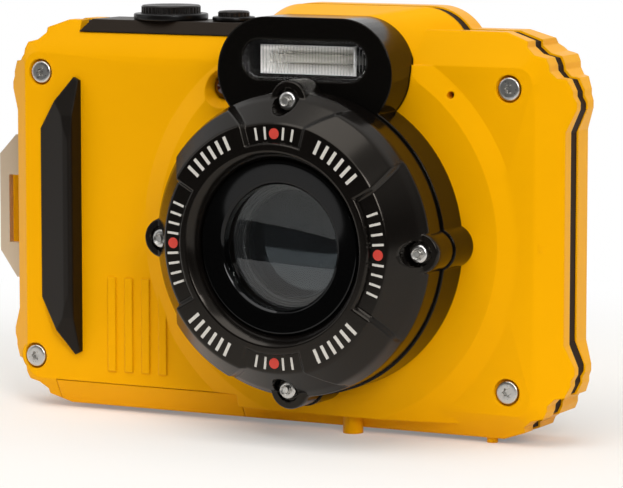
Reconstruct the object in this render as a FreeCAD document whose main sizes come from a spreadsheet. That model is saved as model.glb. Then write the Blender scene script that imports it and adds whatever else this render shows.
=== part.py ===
import FreeCAD, Part
import Sketcher
import math
import os
import re
from types import SimpleNamespace

Vector = FreeCAD.Vector

# Rugged compact camera, in millimetres. +Z is up and the lens looks along -Y.
# The origin lies under the middle of the whole camera, on the ground.
doc = FreeCAD.newDocument("rugged_camera")
sheet = doc.addObject("Spreadsheet::Sheet", "Sizes")

SIZES = (
    # Overall form
    ("half_depth", 19.0, "lens cover front and key tops from the middle"),
    ("body_shift", 2.35, "middle of the casing from the middle of the whole camera"),
    ("half_width", 55.75, "half the casing between its side walls"),
    ("armour_reach", 1.75, "how far the corner armour stands out of the side walls"),
    ("armour_high", 17.3, "height of the corner armour"),
    ("body_low", 1.0, "underside above the ground"),
    ("body_high", 73.1, "top of the casing"),
    ("wall", 1.8, "wall of both shells"),
    ("seam_gap", 0.1, "gap round a fitted cover"),
    # Depth levels
    ("face_y", 2.5, "plane of the front face"),
    ("plateau_rise", 1.3, "raised disc round the lens"),
    ("plateau_radius", 34.0, "raised disc, radius of its flat"),
    ("plateau_slope", 9.0, "raised disc, width of its sloping edge down to the depth of the wall"),
    ("bevel_depth", 2.6, "depth of the bevel round the front face"),
    ("bevel_left", 3.0, "width of that bevel at the left side"),
    ("bevel_side", 5.2, "width of that bevel at the right side"),
    ("bevel_top", 6.1, "width of that bevel at the top"),
    ("bevel_low", 4.6, "width of that bevel at the bottom"),
    ("bevel_corner", 3.0, "corner radius of the front face"),
    ("band_front", 7.7, "front of the dark seam band"),
    ("band_width", 3.1, "width of the dark seam band"),
    ("band_sink", 0.3, "how far the band lies below the shells"),
    ("back_y", 18.5, "plane of the back"),
    ("back_bevel", 3.2, "bevel round the back"),
    ("corner_cut", 12.0, "corner cut of the hollow inside"),
    # Hump over the flash
    ("hump_x", 17.7, "middle of the hump"),
    ("hump_half", 21.6, "half width of the hump at the band"),
    ("hump_high", 77.0, "top of the hump at the band"),
    ("hump_radius", 9.5, "shoulder radius of the hump"),
    # Flash housing and lens base
    ("flash_x", 12.67, "middle of the flash housing"),
    ("flash_half", 17.28, "half width of the flash housing"),
    ("flash_high", 75.34, "top of the flash housing"),
    ("flash_radius", 9.8, "end radius of the flash housing"),
    ("flash_back", 3.2, "back of the flash housing, sunk in the front shell"),
    ("glow_half", 12.34, "half width of the flash window"),
    ("glow_radius", 3.57, "end radius of the flash window"),
    ("glow_z", 67.7, "height of the flash window"),
    ("glow_thick", 1.8, "thickness of the flash window"),
    ("glow_sink", 0.3, "how far the flash window lies below its housing"),
    ("lens_x", 12.97, "lens axis across the camera"),
    ("lens_z", 35.5, "lens axis above the ground"),
    ("base_radius", 27.4, "round base under the lens cover"),
    ("base_front", -6.2, "front plane of base and flash housing"),
    ("spigot_wall", 1.6, "spigot of the base in the front shell's hole"),
    ("barrel_room", 1.9, "space between the lens barrel and that spigot"),
    ("lug_ring", 25.55, "radius of the four cover screws"),
    ("lug_radius", 3.9, "radius of the screw lugs"),
    # Lens cover and window
    ("cover_gap", 0.2, "joint between base and lens cover"),
    ("cover_radius", 27.0, "lens cover at its skirt"),
    ("cover_wall", 2.0, "lens cover skirt wall"),
    ("pad_rise", 1.0, "raised quarter pads above the ring"),
    ("cover_shoulder", -13.2, "outer edge of the lens cover's slope"),
    ("cover_skirt", -11.5, "where the lens cover's skirt begins"),
    ("cover_inner", -10.2, "ceiling of the hollow in the lens cover"),
    ("ring_bore", 17.0, "mouth of the lens cover's funnel"),
    ("ring_edge", 21.9, "outer edge of the cover's front ring"),
    ("window_radius", 13.5, "glass window"),
    ("window_thick", 1.5, "glass window"),
    ("window_front", -13.9, "front of the glass window"),
    ("trim_outer", 15.6, "black ring over the glass, outer radius"),
    ("trim_inner", 11.1, "black ring over the glass, inner radius"),
    ("trim_thick", 2.6, "black ring over the glass"),
    ("seal_wire", 0.5, "cross-section radius of the window seal"),
    ("seal_radius", 12.6, "window seal centre radius"),
    # Screws
    ("shank_radius", 1.0, "corner screws"),
    ("head_radius", 2.1, "corner screw heads"),
    ("head_thick", 1.3, "corner screw heads"),
    ("small_shank", 0.8, "cover screws"),
    ("small_head", 1.65, "cover screw heads"),
    ("small_thick", 1.1, "cover screw heads"),
    ("small_front", -13.23, "front of the cover screw heads"),
    ("recess_radius", 0.62, "six-lobe recess"),
    ("recess_lobe", 0.22, "six-lobe recess, each lobe"),
    ("recess_depth", 0.7, "six-lobe recess"),
    ("post_radius", 3.2, "screw posts inside the shells"),
    ("screw_long", 13.2, "corner screws, whole length"),
    ("small_long", 12.6, "cover screws, whole length"),
    ("screw_left", 6.4, "upper left corner screw in from the side wall"),
    ("screw_left_low", 4.75, "lower left corner screw in from the side wall"),
    ("screw_right", 9.7, "right corner screws in from the side wall"),
    ("screw_down", 9.8, "upper corner screws down from the top"),
    ("screw_up", 8.75, "lower corner screws up from the underside"),
    ("board_post", 1.8, "board posts"),
    ("post_low_in", 17.1, "lowest board post in from the side wall"),
    ("post_low_z", 14.0, "lowest board post"),
    ("post_side_in", 5.6, "middle board post in from the side wall"),
    ("post_high_in", 12.1, "upper board post in from the side wall"),
    ("post_high_z", 57.0, "upper board post"),
    ("screw_play", 0.02, "clearance of a screw in its thread"),
    # Top panel and its two buttons
    ("panel_left", -39.4, "left end of the top panel"),
    ("panel_right", -4.8, "right end of the top panel"),
    ("panel_front", 3.9, "front lower edge of the top panel"),
    ("panel_back", 15.4, "back lower edge of the top panel"),
    ("panel_low", 71.0, "underside of the top panel"),
    ("panel_thick", 2.3, "top panel"),
    ("panel_slope", 1.1, "slope of the panel's front and back edges"),
    ("shelf_thick", 1.7, "shelf of the shells under the panel"),
    ("button_y", 10.3, "middle of both top buttons"),
    ("shutter_x", -23.4, "shutter button"),
    ("shutter_collar", 6.9, "raised collar round the shutter button"),
    ("shutter_cap", 5.5, "shutter button cap radius"),
    ("shutter_top", 76.0, "shutter button top"),
    ("shutter_neck", 4.4, "shutter button neck radius"),
    ("shutter_travel", 1.0, "shutter button travel"),
    ("power_x", -10.2, "power button"),
    ("power_collar", 3.95, "raised collar round the power button"),
    ("power_cap", 2.9, "power button cap radius"),
    ("power_top", 75.2, "power button top"),
    ("power_neck", 2.3, "power button neck radius"),
    ("power_travel", 0.6, "power button travel"),
    ("collar_thick", 1.2, "shutter collar"),
    ("small_collar_thick", 0.9, "power collar"),
    ("slide_play", 0.1, "clearance round a sliding button"),
    ("cup_depth", 5.0, "button cups below the panel"),
    ("cup_wall", 1.1, "button cups"),
    ("stem_radius", 1.2, "button stems"),
    ("switch_floor", 62.2, "top of the switch board"),
    ("board_thin", 0.8, "switch board"),
    ("spring_wire", 0.25, "button spring wire radius"),
    # Back: screen and keys
    ("screen_in", 4.7, "screen window in from the right side wall"),
    ("screen_z", 37.5, "middle of the screen"),
    ("screen_half_x", 30.0, "half width of the screen window"),
    ("screen_half_z", 25.0, "half height of the screen window"),
    ("screen_thick", 1.15, "screen window"),
    ("screen_lip", 2.0, "ledge that the screen window lies on"),
    ("module_thick", 2.2, "display module"),
    ("key_in", 22.5, "middle of the keys in from the left side wall"),
    ("key_z", 33.0, "middle of the arrow keys"),
    ("key_pitch", 9.2, "arrow keys from the middle key"),
    ("key_radius", 2.6, "keys"),
    ("ok_radius", 3.4, "middle key"),
    ("key_flange", 0.8, "flange of a key behind the shell"),
    ("key_flange_thick", 0.65, "flange of a key"),
    ("record_z", 53.0, "upper row of keys"),
    ("row_half", 9.5, "half distance between the upper keys"),
    ("menu_z", 13.5, "menu key"),
    ("membrane_thick", 1.3, "rubber mat under the keys"),
    ("dome_rise", 0.15, "domes of that mat"),
    ("rocker_z", 61.2, "zoom rocker"),
    ("rocker_half", 6.6, "half length of the zoom rocker"),
    ("rocker_radius", 2.5, "end radius of the zoom rocker"),
    ("trunnion_radius", 0.8, "zoom rocker trunnions"),
    ("rocker_play", 0.35, "gap round the zoom rocker"),
    # Grip, strap lug, lamp and microphone
    ("grip_in", 6.5, "thin edge of the grip in from the left side wall"),
    ("grip_wide", 8.6, "width of the grip"),
    ("grip_high", 62.6, "top tip of the grip"),
    ("grip_low", 10.7, "bottom tip of the grip"),
    ("grip_rise", 3.4, "height of the grip's ridge"),
    ("lug_thick", 1.4, "strap lug plate"),
    ("lug_y", 8.5, "front of the strap lug plate"),
    ("lug_low", 28.6, "outer edge of the strap lug, lower end"),
    ("lug_high", 47.0, "outer edge of the strap lug, upper end"),
    ("lug_slope", 3.8, "height of the strap lug's slanted ends"),
    ("slot_low", 30.2, "strap slot, lower end"),
    ("slot_high", 43.1, "strap slot, upper end"),
    ("slot_width", 2.2, "strap slot"),
    ("slot_edge", 2.0, "metal outside the strap slot"),
    ("lamp_x", -8.2, "focus lamp"),
    ("lamp_z", 61.8, "focus lamp"),
    ("lamp_radius", 2.25, "focus lamp"),
    ("mic_x", 37.5, "microphone hole"),
    ("mic_z", 61.9, "microphone hole"),
    ("mic_radius", 0.65, "microphone hole"),
    ("rib_in", 20.7, "first of the shallow ribs in from the left side wall"),
    ("rib_pitch", 3.6, "shallow ribs"),
    ("rib_width", 1.7, "shallow ribs"),
    ("rib_rise", 0.3, "shallow ribs"),
    ("rib_low", 8.0, "shallow ribs, lower end"),
    ("rib_high", 25.6, "shallow ribs, upper end"),
    # Battery door and what lies behind it
    ("door_in", 9.3, "battery door in from the left side wall"),
    ("door_long", 38.9, "length of the battery door"),
    ("door_high", 5.5, "top edge of the door's front skirt"),
    ("door_plate", 1.8, "door plate"),
    ("hinge_y", 14.6, "door hinge"),
    ("hinge_z", 2.4, "door hinge"),
    ("knuckle_radius", 1.35, "door knuckle"),
    ("pin_radius", 0.6, "hinge pin"),
    ("pin_play", 0.05, "clearance of the hinge pin in the door"),
    ("ear_width", 2.6, "hinge ears of the rear shell"),
    ("door_seal", 1.0, "rubber seal on the door"),
    ("seal_width", 1.0, "width of that seal"),
    ("lock_travel", 2.5, "door lock slider"),
    ("lock_in", 14.1, "lock's pocket in from the door's left end"),
    ("lock_y", 8.0, "front of the lock's pocket"),
    ("lock_long", 8.0, "lock slider along its travel"),
    ("lock_wide", 4.0, "lock slider"),
    ("lock_thick", 0.8, "lock slider"),
    ("seal_left", 4.6, "door seal in from the door's left end"),
    ("battery_in", 4.55, "battery in from the door's left end"),
    ("battery_wide", 26.35, "battery"),
    ("battery_thick", 5.7, "battery"),
    ("battery_high", 40.0, "battery"),
    ("battery_front", 7.3, "battery"),
    ("battery_low", 5.2, "battery"),
    ("holder_wall", 0.8, "battery holder"),
    ("fit_gap", 0.1, "gap round what slides in"),
    ("card_wide", 11.0, "memory card"),
    ("card_high", 15.0, "memory card"),
    ("card_thick", 0.8, "memory card"),
    ("card_in", 10.1, "memory card in from the door's left end"),
    ("card_low", 6.0, "lower edge of the memory card"),
    ("usb_thick", 3.2, "charging socket"),
    ("usb_wide", 7.6, "charging socket"),
    ("usb_low", 4.8, "mouth of the charging socket"),
    # Tripod socket and feet
    ("tripod_y", 10.7, "tripod socket"),
    ("tripod_bore", 2.6, "tripod socket, minor radius of its thread"),
    ("tripod_depth", 5.5, "tripod socket"),
    ("tripod_radius", 3.9, "tripod bush"),
    ("foot_x", 17.4, "front peg"),
    ("foot_y", 4.2, "front peg"),
    ("foot_radius", 1.85, "front peg"),
    ("nub_radius", 1.0, "small feet"),
    ("nub_left", 7.4, "left foot in from the side wall"),
    ("nub_right", 14.1, "right feet in from the side wall"),
    ("nub_front", 6.4, "front foot"),
    ("nub_back", 14.2, "back feet"),
    # Zoom lens
    ("barrel_radius", 18.0, "lens barrel"),
    ("barrel_wall", 2.0, "lens barrel"),
    ("barrel_front", -9.8, "lens barrel"),
    ("barrel_back", 11.9, "lens barrel and the sensor board on it"),
    ("front_glass", 9.3, "front lens element radius"),
    ("rail_inset", 3.4, "guide rods and lead screws from the barrel's inner wall"),
    ("rail_radius", 0.75, "guide rods"),
    ("rail_play", 0.05, "clearance of the carriages on rods and screws"),
    ("lead_radius", 0.9, "lead screws"),
    ("carriage_gap", 0.5, "between a lens carriage and the other carriage's motor"),
    ("cell_radius", 6.2, "lens cell in a carriage"),
    ("carriage_thick", 2.2, "lens carriages"),
    ("zoom_y", -5.6, "front of the zoom carriage"),
    ("focus_y", 6.0, "front of the focus carriage"),
    ("motor_radius", 2.6, "lens motors"),
    ("motor_long", 7.0, "lens motors"),
    ("speaker_gap", 0.5, "between the lens barrel and the speaker"),
    ("speaker_radius", 4.5, "speaker"),
    ("speaker_z", 51.0, "speaker"),
    ("capacitor_radius", 4.1, "flash capacitor"),
    ("capacitor_low", 18.0, "lower end of the flash capacitor"),
    ("capacitor_long", 27.0, "flash capacitor"),
    ("capacitor_in", 14.1, "flash capacitor in from the right side wall"),
    # Boards
    ("board_front", 13.0, "front of the main board"),
    ("board_thick", 1.0, "boards"),
    ("board_low", 8.5, "lower edge of the main board"),
    ("plate_thick", 0.4, "metal chassis plate"),
)

# Places that follow from those sizes
PLACES = (
    ("screen_x", "=body_shift + half_width - screen_in - screen_half_x", "middle of the screen"),
    ("key_x", "=body_shift - half_width + key_in", "middle of the keys"),
    ("door_left", "=body_shift - half_width + door_in", "left end of the battery door"),
    ("door_right", "=door_left + door_long", "right end of the battery door"),
    ("lock_x", "=door_left + lock_in", "left end of the lock's pocket"),
    ("battery_left", "=door_left + battery_in", "battery"),
    ("card_x", "=door_left + card_in", "left edge of the memory card"),
    ("board_left", "=battery_left + battery_wide + fit_gap + holder_wall + 0.3",
     "left edge of the main board"),
    ("grip_left", "=body_shift - half_width + grip_in", "thin edge of the grip"),
    ("grip_right", "=grip_left + grip_wide", "steep edge of the grip"),
    ("rib_left", "=body_shift - half_width + rib_in", "first of the shallow ribs"),
    ("speaker_x", "=lens_x + barrel_radius + speaker_gap + speaker_radius", "speaker"),
)

for line, (alias, value, meaning) in enumerate(SIZES + PLACES, 1):
    sheet.set("A%d" % line, meaning)
    sheet.set("B%d" % line, str(value))
    sheet.setAlias("B%d" % line, alias)
doc.recompute()

ALIASES = frozenset(alias for alias, value, meaning in SIZES + PLACES)
RAIL = "(barrel_radius - barrel_wall - rail_inset)"
DISC = "(barrel_radius - barrel_wall - rail_inset - motor_radius - carriage_gap)"
LEFT = "(body_shift - half_width)"
RIGHT = "(body_shift + half_width)"
s = SimpleNamespace(**{alias: float(sheet.get(alias)) for alias in ALIASES})

# Derived levels that several pieces share
hump_foot = s.hump_high - 2 * s.hump_radius + 2.0
band_back = s.band_front + s.band_width
right_wall = s.body_shift + s.half_width
left_wall = s.body_shift - s.half_width
lug_out = -(s.body_shift + s.half_width + s.armour_reach)
SCREWS = ((LEFT + " + screw_left", "body_high - screw_down"),
          (RIGHT + " - screw_right", "body_high - screw_down"),
          (LEFT + " + screw_left_low", "body_low + screw_up"),
          (RIGHT + " - screw_right", "body_low + screw_up"))
POSTS = ((RIGHT + " - post_low_in", "post_low_z"), (RIGHT + " - post_side_in", "lens_z"),
         (RIGHT + " - post_high_in", "post_high_z"))
NUBS = (LEFT + " + nub_left", RIGHT + " - nub_right")


def bound(formula):
    """Write a formula in aliases as an expression on the sheet."""
    word = lambda found: "Sizes." + found.group(0) if found.group(0) in ALIASES else found.group(0)
    return re.sub(r"[a-z][a-z_0-9]*", word, str(formula))


def place(obj, at):
    """Bind an object's base point to three formulas."""
    for axis, formula in zip("xyz", at):
        obj.setExpression("Placement.Base." + axis, bound(formula))
    return obj


TURN = {
    "X": FreeCAD.Rotation(Vector(0, 1, 0), 90),
    "Y": FreeCAD.Rotation(Vector(1, 0, 0), -90),
    "Z": FreeCAD.Rotation(),
}


def box(name, x, y, z):
    """A block between low and high formulas on each axis."""
    obj = doc.addObject("Part::Box", name)
    for size, (low, high) in zip(("Length", "Width", "Height"), (x, y, z)):
        obj.setExpression(size, bound("(%s) - (%s)" % (high, low)))
    return place(obj, (x[0], y[0], z[0]))


def rod(name, radius, axis, at, length):
    """A cylinder along an axis, from its base point."""
    obj = doc.addObject("Part::Cylinder", name)
    obj.setExpression("Radius", bound(radius))
    obj.setExpression("Height", bound(length))
    obj.Placement = FreeCAD.Placement(Vector(), TURN[axis])
    return place(obj, at)


def cone(name, radius_a, radius_b, axis, at, length):
    """A truncated cone along an axis, from its base point."""
    obj = doc.addObject("Part::Cone", name)
    obj.setExpression("Radius1", bound(radius_a))
    obj.setExpression("Radius2", bound(radius_b))
    obj.setExpression("Height", bound(length))
    obj.Placement = FreeCAD.Placement(Vector(), TURN[axis])
    return place(obj, at)


def fuse(name, *parts):
    obj = doc.addObject("Part::MultiFuse", name)
    obj.Shapes = list(parts)
    return obj


def cut(name, base, *tools):
    obj = doc.addObject("Part::Cut", name)
    obj.Base = base
    obj.Tool = tools[0] if len(tools) == 1 else fuse(name + "_tools", *tools)
    return obj


def group(name, *parts):
    """Like pieces kept as separate solids of one node."""
    obj = doc.addObject("Part::Compound", name)
    obj.Links = list(parts)
    return obj


def shaped(name, shape):
    """A piece whose form is worked out from the sheet's values."""
    obj = doc.addObject("Part::Feature", name)
    obj.Shape = shape
    obj.Placement = FreeCAD.Placement()
    return obj


def outline(body, plane, points):
    """A closed sketch whose corners are bound to formulas."""
    sketch = body.newObject("Sketcher::SketchObject", body.Name + "_outline")
    datum = [part for part in body.Origin.OriginFeatures if part.Role == plane][0]
    sketch.AttachmentSupport = [(datum, "")]
    sketch.MapMode = "FlatFace"
    count = len(points)
    ring = [2 * math.pi * k / count for k in range(count)]
    seeds = [Vector(20 + 10 * math.cos(a), 10 * math.sin(a), 0) for a in ring]
    for k in range(count):
        sketch.addGeometry(Part.LineSegment(seeds[k], seeds[(k + 1) % count]), False)
    for k in range(count):
        sketch.addConstraint(Sketcher.Constraint("Coincident", k, 2, (k + 1) % count, 1))
    for k, point in enumerate(points):
        for kind, formula, axis in (("DistanceX", point[0], -2), ("DistanceY", point[1], -1)):
            if formula == "0":
                sketch.addConstraint(Sketcher.Constraint("PointOnObject", k, 1, axis))
            else:
                row = sketch.addConstraint(Sketcher.Constraint(kind, -1, 1, k, 1, 1.0 + k))
                sketch.setExpression("Constraints[%d]" % row, bound(formula))
    return sketch


def turned(name, axis, at, points):
    """A piece turned about Y or Z: points are (radius, station along the axis)."""
    body = doc.addObject("PartDesign::Body", name)
    sketch = outline(body, {"Y": "XY_Plane", "Z": "XZ_Plane"}[axis], points)
    doc.recompute()
    turn = body.newObject("PartDesign::Revolution", name + "_turn")
    turn.Profile = sketch
    turn.ReferenceAxis = (sketch, ["V_Axis"])
    turn.Angle = 360
    return place(body, at)


def plate(name, at, thick, points):
    """A flat piece: points in X and Z, padded along +Y."""
    body = doc.addObject("PartDesign::Body", name)
    sketch = outline(body, "XZ_Plane", points)
    doc.recompute()
    pad = body.newObject("PartDesign::Pad", name + "_pad")
    pad.Profile = sketch
    pad.setExpression("Length", bound(thick))
    pad.Reversed = True
    return place(body, at)


# Corner armour of the casing, seen from the front: shares of its reach and of its height
ARMOUR = ((1.0, 0.769), (1.0, 0.699), (0.65, 0.636), (0.65, 0.584), (0.05, 0.462))
ARMOUR_STEPS = ((0.081, 0.451), (0.145, 0.382), (0.150, 0.324), (0.185, 0.249), (0.306, 0.220),
                (0.396, 0.145),
                (0.399, 0.087), (0.650, 0.0))


def armour():
    """Corner steps, as distances out of the side wall and in from the top or bottom."""
    tall = s.armour_high
    steps = [(0.0, tall)]
    steps += [(share * s.armour_reach, down * tall) for share, down in ARMOUR]
    steps += [(-back * tall, down * tall) for back, down in ARMOUR_STEPS]
    return steps


def casing_wire(y, inset):
    """The casing's outline with its four stepped corners."""
    right, left = right_wall - inset, left_wall + inset
    low, high = s.body_low + inset, s.body_high - inset
    steps = armour()
    points = [(right + out, high - down) for out, down in steps]
    points += [(left - out, high - down) for out, down in reversed(steps)]
    points += [(left - out, low + down) for out, down in steps]
    points += [(right + out, low + down) for out, down in reversed(steps)]
    corners = [Vector(x, y, z) for x, z in points]
    return Part.makePolygon(corners + corners[:1])


def rounded_wire(y, left, right, low, high, radius):
    """A rectangle with round corners."""
    turn = radius * math.sqrt(0.5)
    edges = []
    corners = ((right, high, 1, 1), (left, high, -1, 1), (left, low, -1, -1), (right, low, 1, -1))
    arcs = []
    for x, z, side, rise in corners:
        centre_x, centre_z = x - side * radius, z - rise * radius
        on_side = Vector(x, y, centre_z)
        on_level = Vector(centre_x, y, z)
        middle = Vector(centre_x + side * turn, y, centre_z + rise * turn)
        ends = (on_side, on_level) if side == rise else (on_level, on_side)
        arcs.append((ends[0], middle, ends[1]))
    for k, (start, middle, end) in enumerate(arcs):
        edges.append(Part.Arc(start, middle, end).toShape())
        edges.append(Part.LineSegment(end, arcs[(k + 1) % 4][0]).toShape())
    return Part.Wire(edges)


def cut_wire(y, left, right, low, high, leg):
    """A rectangle with cut corners."""
    points = ((right, low + leg), (right, high - leg), (right - leg, high), (left + leg, high))
    points += ((left, high - leg), (left, low + leg), (left + leg, low), (right - leg, low))
    corners = [Vector(x, y, z) for x, z in points]
    return Part.makePolygon(corners + corners[:1])


def arch_wire(y, middle, half, high, radius, low):
    """A doorway shape: upright sides and a top with round shoulders."""
    left, right = middle - half, middle + half
    turn = radius * math.sqrt(0.5)
    spring = high - radius
    points = (Vector(left, y, low), Vector(left, y, spring), Vector(left + radius, y, high),
              Vector(right - radius, y, high), Vector(right, y, spring), Vector(right, y, low))
    left_turn = Vector(left + radius - turn, y, spring + turn)
    right_turn = Vector(right - radius + turn, y, spring + turn)
    edges = [Part.LineSegment(points[0], points[1]), Part.Arc(points[1], left_turn, points[2]),
             Part.LineSegment(points[2], points[3]), Part.Arc(points[3], right_turn, points[4]),
             Part.LineSegment(points[4], points[5]), Part.LineSegment(points[5], points[0])]
    return Part.Wire([edge.toShape() for edge in edges])


def prism(wire, depth):
    """A wire's face, extruded along Y."""
    return Part.Face(wire).extrude(Vector(0, depth, 0))


def loft(*wires):
    return Part.makeLoft(list(wires), True, True)


def bevelled(y_face, y_end, depth, left, right, top, low):
    """The block that bevels a shell: narrow at its face, past the armour inside."""
    way = math.copysign(1.0, y_end - y_face)
    past = s.armour_reach / right

    def frame(y, in_left, in_right, in_top, in_low):
        return rounded_wire(y, left_wall + in_left, right_wall - in_right,
                            s.body_low + in_low, s.body_high - in_top, s.bevel_corner)

    outer = (-s.armour_reach, -s.armour_reach, -top * past, -low * past)
    y_past = y_face + way * depth * (1.0 + past)
    return loft(frame(y_face, left, right, top, low), frame(y_past, *outer), frame(y_end, *outer))


def hump(y_front, y_back, inset):
    return prism(arch_wire(y_front, s.hump_x, s.hump_half - inset, s.hump_high - inset,
                           s.hump_radius - inset, hump_foot), y_back - y_front)


def hollow(y_front, y_back, inset):
    return prism(cut_wire(y_front, left_wall + inset, right_wall - inset,
                          s.body_low + inset, s.body_high - inset, s.corner_cut), y_back - y_front)


def front_form():
    """Outside of the front shell: bevelled casing, raised disc and hump."""
    depth = s.band_front - s.face_y
    casing = prism(casing_wire(s.face_y, 0.0), depth)
    bevel = bevelled(s.face_y, s.band_front + 1.0, s.bevel_depth, s.bevel_left, s.bevel_side,
                     s.bevel_top, s.bevel_low)
    form = casing.common(bevel)
    centre = Vector(s.lens_x, s.face_y - s.plateau_rise, s.lens_z)
    disc = Part.makeCone(s.plateau_radius, s.plateau_radius + s.plateau_slope, s.plateau_rise + s.wall,
                         centre, Vector(0, 1, 0))
    limit = prism(rounded_wire(0.0, left_wall + s.bevel_left, right_wall - s.bevel_side,
                               s.body_low + s.bevel_low / 2, s.body_high - s.bevel_top, s.bevel_corner),
                  s.band_front)
    at_housing = arch_wire(s.flash_back, s.flash_x, s.flash_half, s.flash_high, s.flash_radius, hump_foot)
    at_band = arch_wire(s.band_front, s.hump_x, s.hump_half, s.hump_high, s.hump_radius, hump_foot)
    return form.fuse([disc.common(limit), loft(at_housing, at_band)]).removeSplitter()


def front_hollow():
    """Space inside the front shell, its bevel kept parallel to the outside."""
    start = s.face_y + s.wall
    turn = start + s.bevel_depth * (1.0 - s.wall / s.bevel_side)

    def ring(y, left, right, top, low):
        return cut_wire(y, left_wall + left, right_wall - right, s.body_low + low, s.body_high - top,
                        s.corner_cut)

    walls = (s.wall, s.wall, s.wall, s.wall)
    space = loft(ring(start, s.bevel_left, s.bevel_side, s.bevel_top, s.bevel_low), ring(turn, *walls),
                 ring(s.band_front, *walls))
    near = arch_wire(s.flash_back + s.wall, s.flash_x, s.flash_half - s.wall, s.flash_high - s.wall,
                     s.flash_radius - s.wall, hump_foot + s.wall)
    far = arch_wire(s.band_front, s.hump_x, s.hump_half - s.wall, s.hump_high - s.wall,
                    s.hump_radius - s.wall, hump_foot + s.wall)
    return space.fuse(loft(near, far))


def band_form():
    return prism(casing_wire(s.band_front, s.band_sink), s.band_width).fuse(
        hump(s.band_front, band_back, s.band_sink))


def band_hollow():
    return hollow(s.band_front, band_back, s.wall).fuse(hump(s.band_front, band_back, s.wall))


def rear_form():
    """Outside of the rear shell: casing and hump, bevelled to the back."""
    bevel = s.back_bevel
    casing = prism(casing_wire(band_back, 0.0), s.back_y - band_back)
    block = bevelled(s.back_y, band_back - 1.0, bevel, bevel, bevel, bevel, bevel)
    start = s.back_y - bevel
    straight = hump(band_back, start, 0.0)
    slope = loft(arch_wire(start, s.hump_x, s.hump_half, s.hump_high, s.hump_radius, hump_foot),
                 arch_wire(s.back_y, s.hump_x, s.hump_half - bevel, s.hump_high - bevel,
                           s.hump_radius - bevel, hump_foot))
    return casing.common(block).fuse([straight, slope]).removeSplitter()


def rear_hollow():
    start = s.back_y - s.back_bevel
    end = s.back_y - s.wall
    inset = s.wall + s.back_bevel / 2
    taper = loft(cut_wire(start, left_wall + s.wall, right_wall - s.wall, s.body_low + s.wall,
                          s.body_high - s.wall, s.corner_cut),
                 cut_wire(end, left_wall + inset, right_wall - inset, s.body_low + inset,
                          s.body_high - inset, s.corner_cut))
    return hollow(band_back, start, s.wall).fuse([taper, hump(band_back, start, s.wall)])


def door_block(grow):
    """Section of the battery door with its front skirt, as a bar along X."""
    high, inner = s.door_high + grow, s.body_low + s.door_plate + grow
    skirt = s.face_y + s.wall + grow
    foot = s.face_y + s.wall + 1.9 + grow
    points = ((0.0, -1.0), (0.0, high), (skirt, high), (foot, inner), (s.hinge_y, inner),
              (s.hinge_y, -1.0))
    corners = [Vector(s.door_left - grow, y, z) for y, z in points]
    face = Part.Face(Part.makePolygon(corners + corners[:1]))
    bar = face.extrude(Vector(s.door_right - s.door_left + 2 * grow, 0, 0))
    knuckle = Part.makeCylinder(s.knuckle_radius + grow, s.door_right - s.door_left + 2 * grow,
                                Vector(s.door_left - grow, s.hinge_y, s.hinge_z), Vector(1, 0, 0))
    below = Part.makeBox(s.door_right - s.door_left + 2 * grow, s.hinge_z - s.body_low + 2 * grow,
                         s.hinge_z + 1.0, Vector(s.door_left - grow, s.hinge_y, -1.0))
    return bar.fuse([knuckle, below]) if grow else bar.fuse(knuckle)


# Holes and pockets that several pieces share
def screw_holes(name, radius, start, length):
    rods = [rod("%s_%d" % (name, k), radius, "Y", (x, start, z), length) for k,
            (x, z) in enumerate(SCREWS)]
    return fuse(name, *rods)


panel_pocket = box("panel_pocket", ("panel_left - seam_gap", "panel_right + seam_gap"),
                   ("panel_front - 1", "panel_back + seam_gap"),
                   ("panel_low - seam_gap", "hump_high + 3"))
well_shutter = rod("well_shutter", "shutter_neck + cup_wall + 2 * slide_play", "Z",
                   ("shutter_x", "button_y", "body_high - 10"), 20)
well_power = rod("well_power", "power_neck + cup_wall + 2 * slide_play", "Z",
                 ("power_x", "button_y", "body_high - 10"), 20)
tripod_hole = rod("tripod_hole", "tripod_radius + screw_play", "Z",
                  ("lens_x", "tripod_y", "body_low - 1"), 3.9)
door_space = shaped("door_space", door_block(s.seam_gap))
lens_hole = rod("lens_hole", "barrel_radius + barrel_room + spigot_wall", "Y",
                ("lens_x", "face_y - 10", "lens_z"), 20)


def shelf(name, start, end):
    return box(name, ("panel_left - 1.5", "panel_right + 1"), (start, end),
               ("panel_low - shelf_thick", "panel_low + 0.4"))


# Front shell: yellow moulding with the lens opening, screw posts, board posts and feet
front_walls = cut("front_walls", shaped("front_outside", front_form()),
                  shaped("front_inside", front_hollow()))
front_posts = screw_holes("front_posts", "post_radius", "face_y + 0.5", "band_front - face_y - 0.5")
board_posts = fuse("board_posts",
                   *[rod("board_post_%d" % k, "board_post", "Y", (x, "face_y + 0.5", z),
                         "board_front - face_y - 0.5")
                                    for k, (x, z) in enumerate(POSTS)])
ribs = fuse("ribs",
            *[box("rib_%d" % k, ("rib_left + %d * rib_pitch" % k,
                                 "rib_left + %d * rib_pitch + rib_width" % k),
                          ("face_y - rib_rise", "face_y + 0.5"),
                          ("rib_low", "rib_high")) for k in range(4)])
front_foot = rod("front_foot", "foot_radius", "Z", ("foot_x", "foot_y", 0), "body_low + 3")
front_nub = rod("front_nub", "nub_radius", "Z", (NUBS[1], "nub_front", 0), "body_low + 1.6")
front_solid = fuse("front_solid", front_walls, front_posts, board_posts, ribs, front_foot, front_nub,
                   shelf("front_shelf", "face_y + 2.2", "band_front"))


def housing_block(grow):
    """Flash housing outline, sunk into the front shell."""
    middle, half = s.flash_x, s.flash_half + grow
    low = s.flash_high - 2 * s.flash_radius - grow
    wire = rounded_wire(s.base_front, middle - half, middle + half, low, s.flash_high + grow,
                        s.flash_radius + grow - 0.01)
    return prism(wire, s.flash_back - s.base_front)


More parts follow.
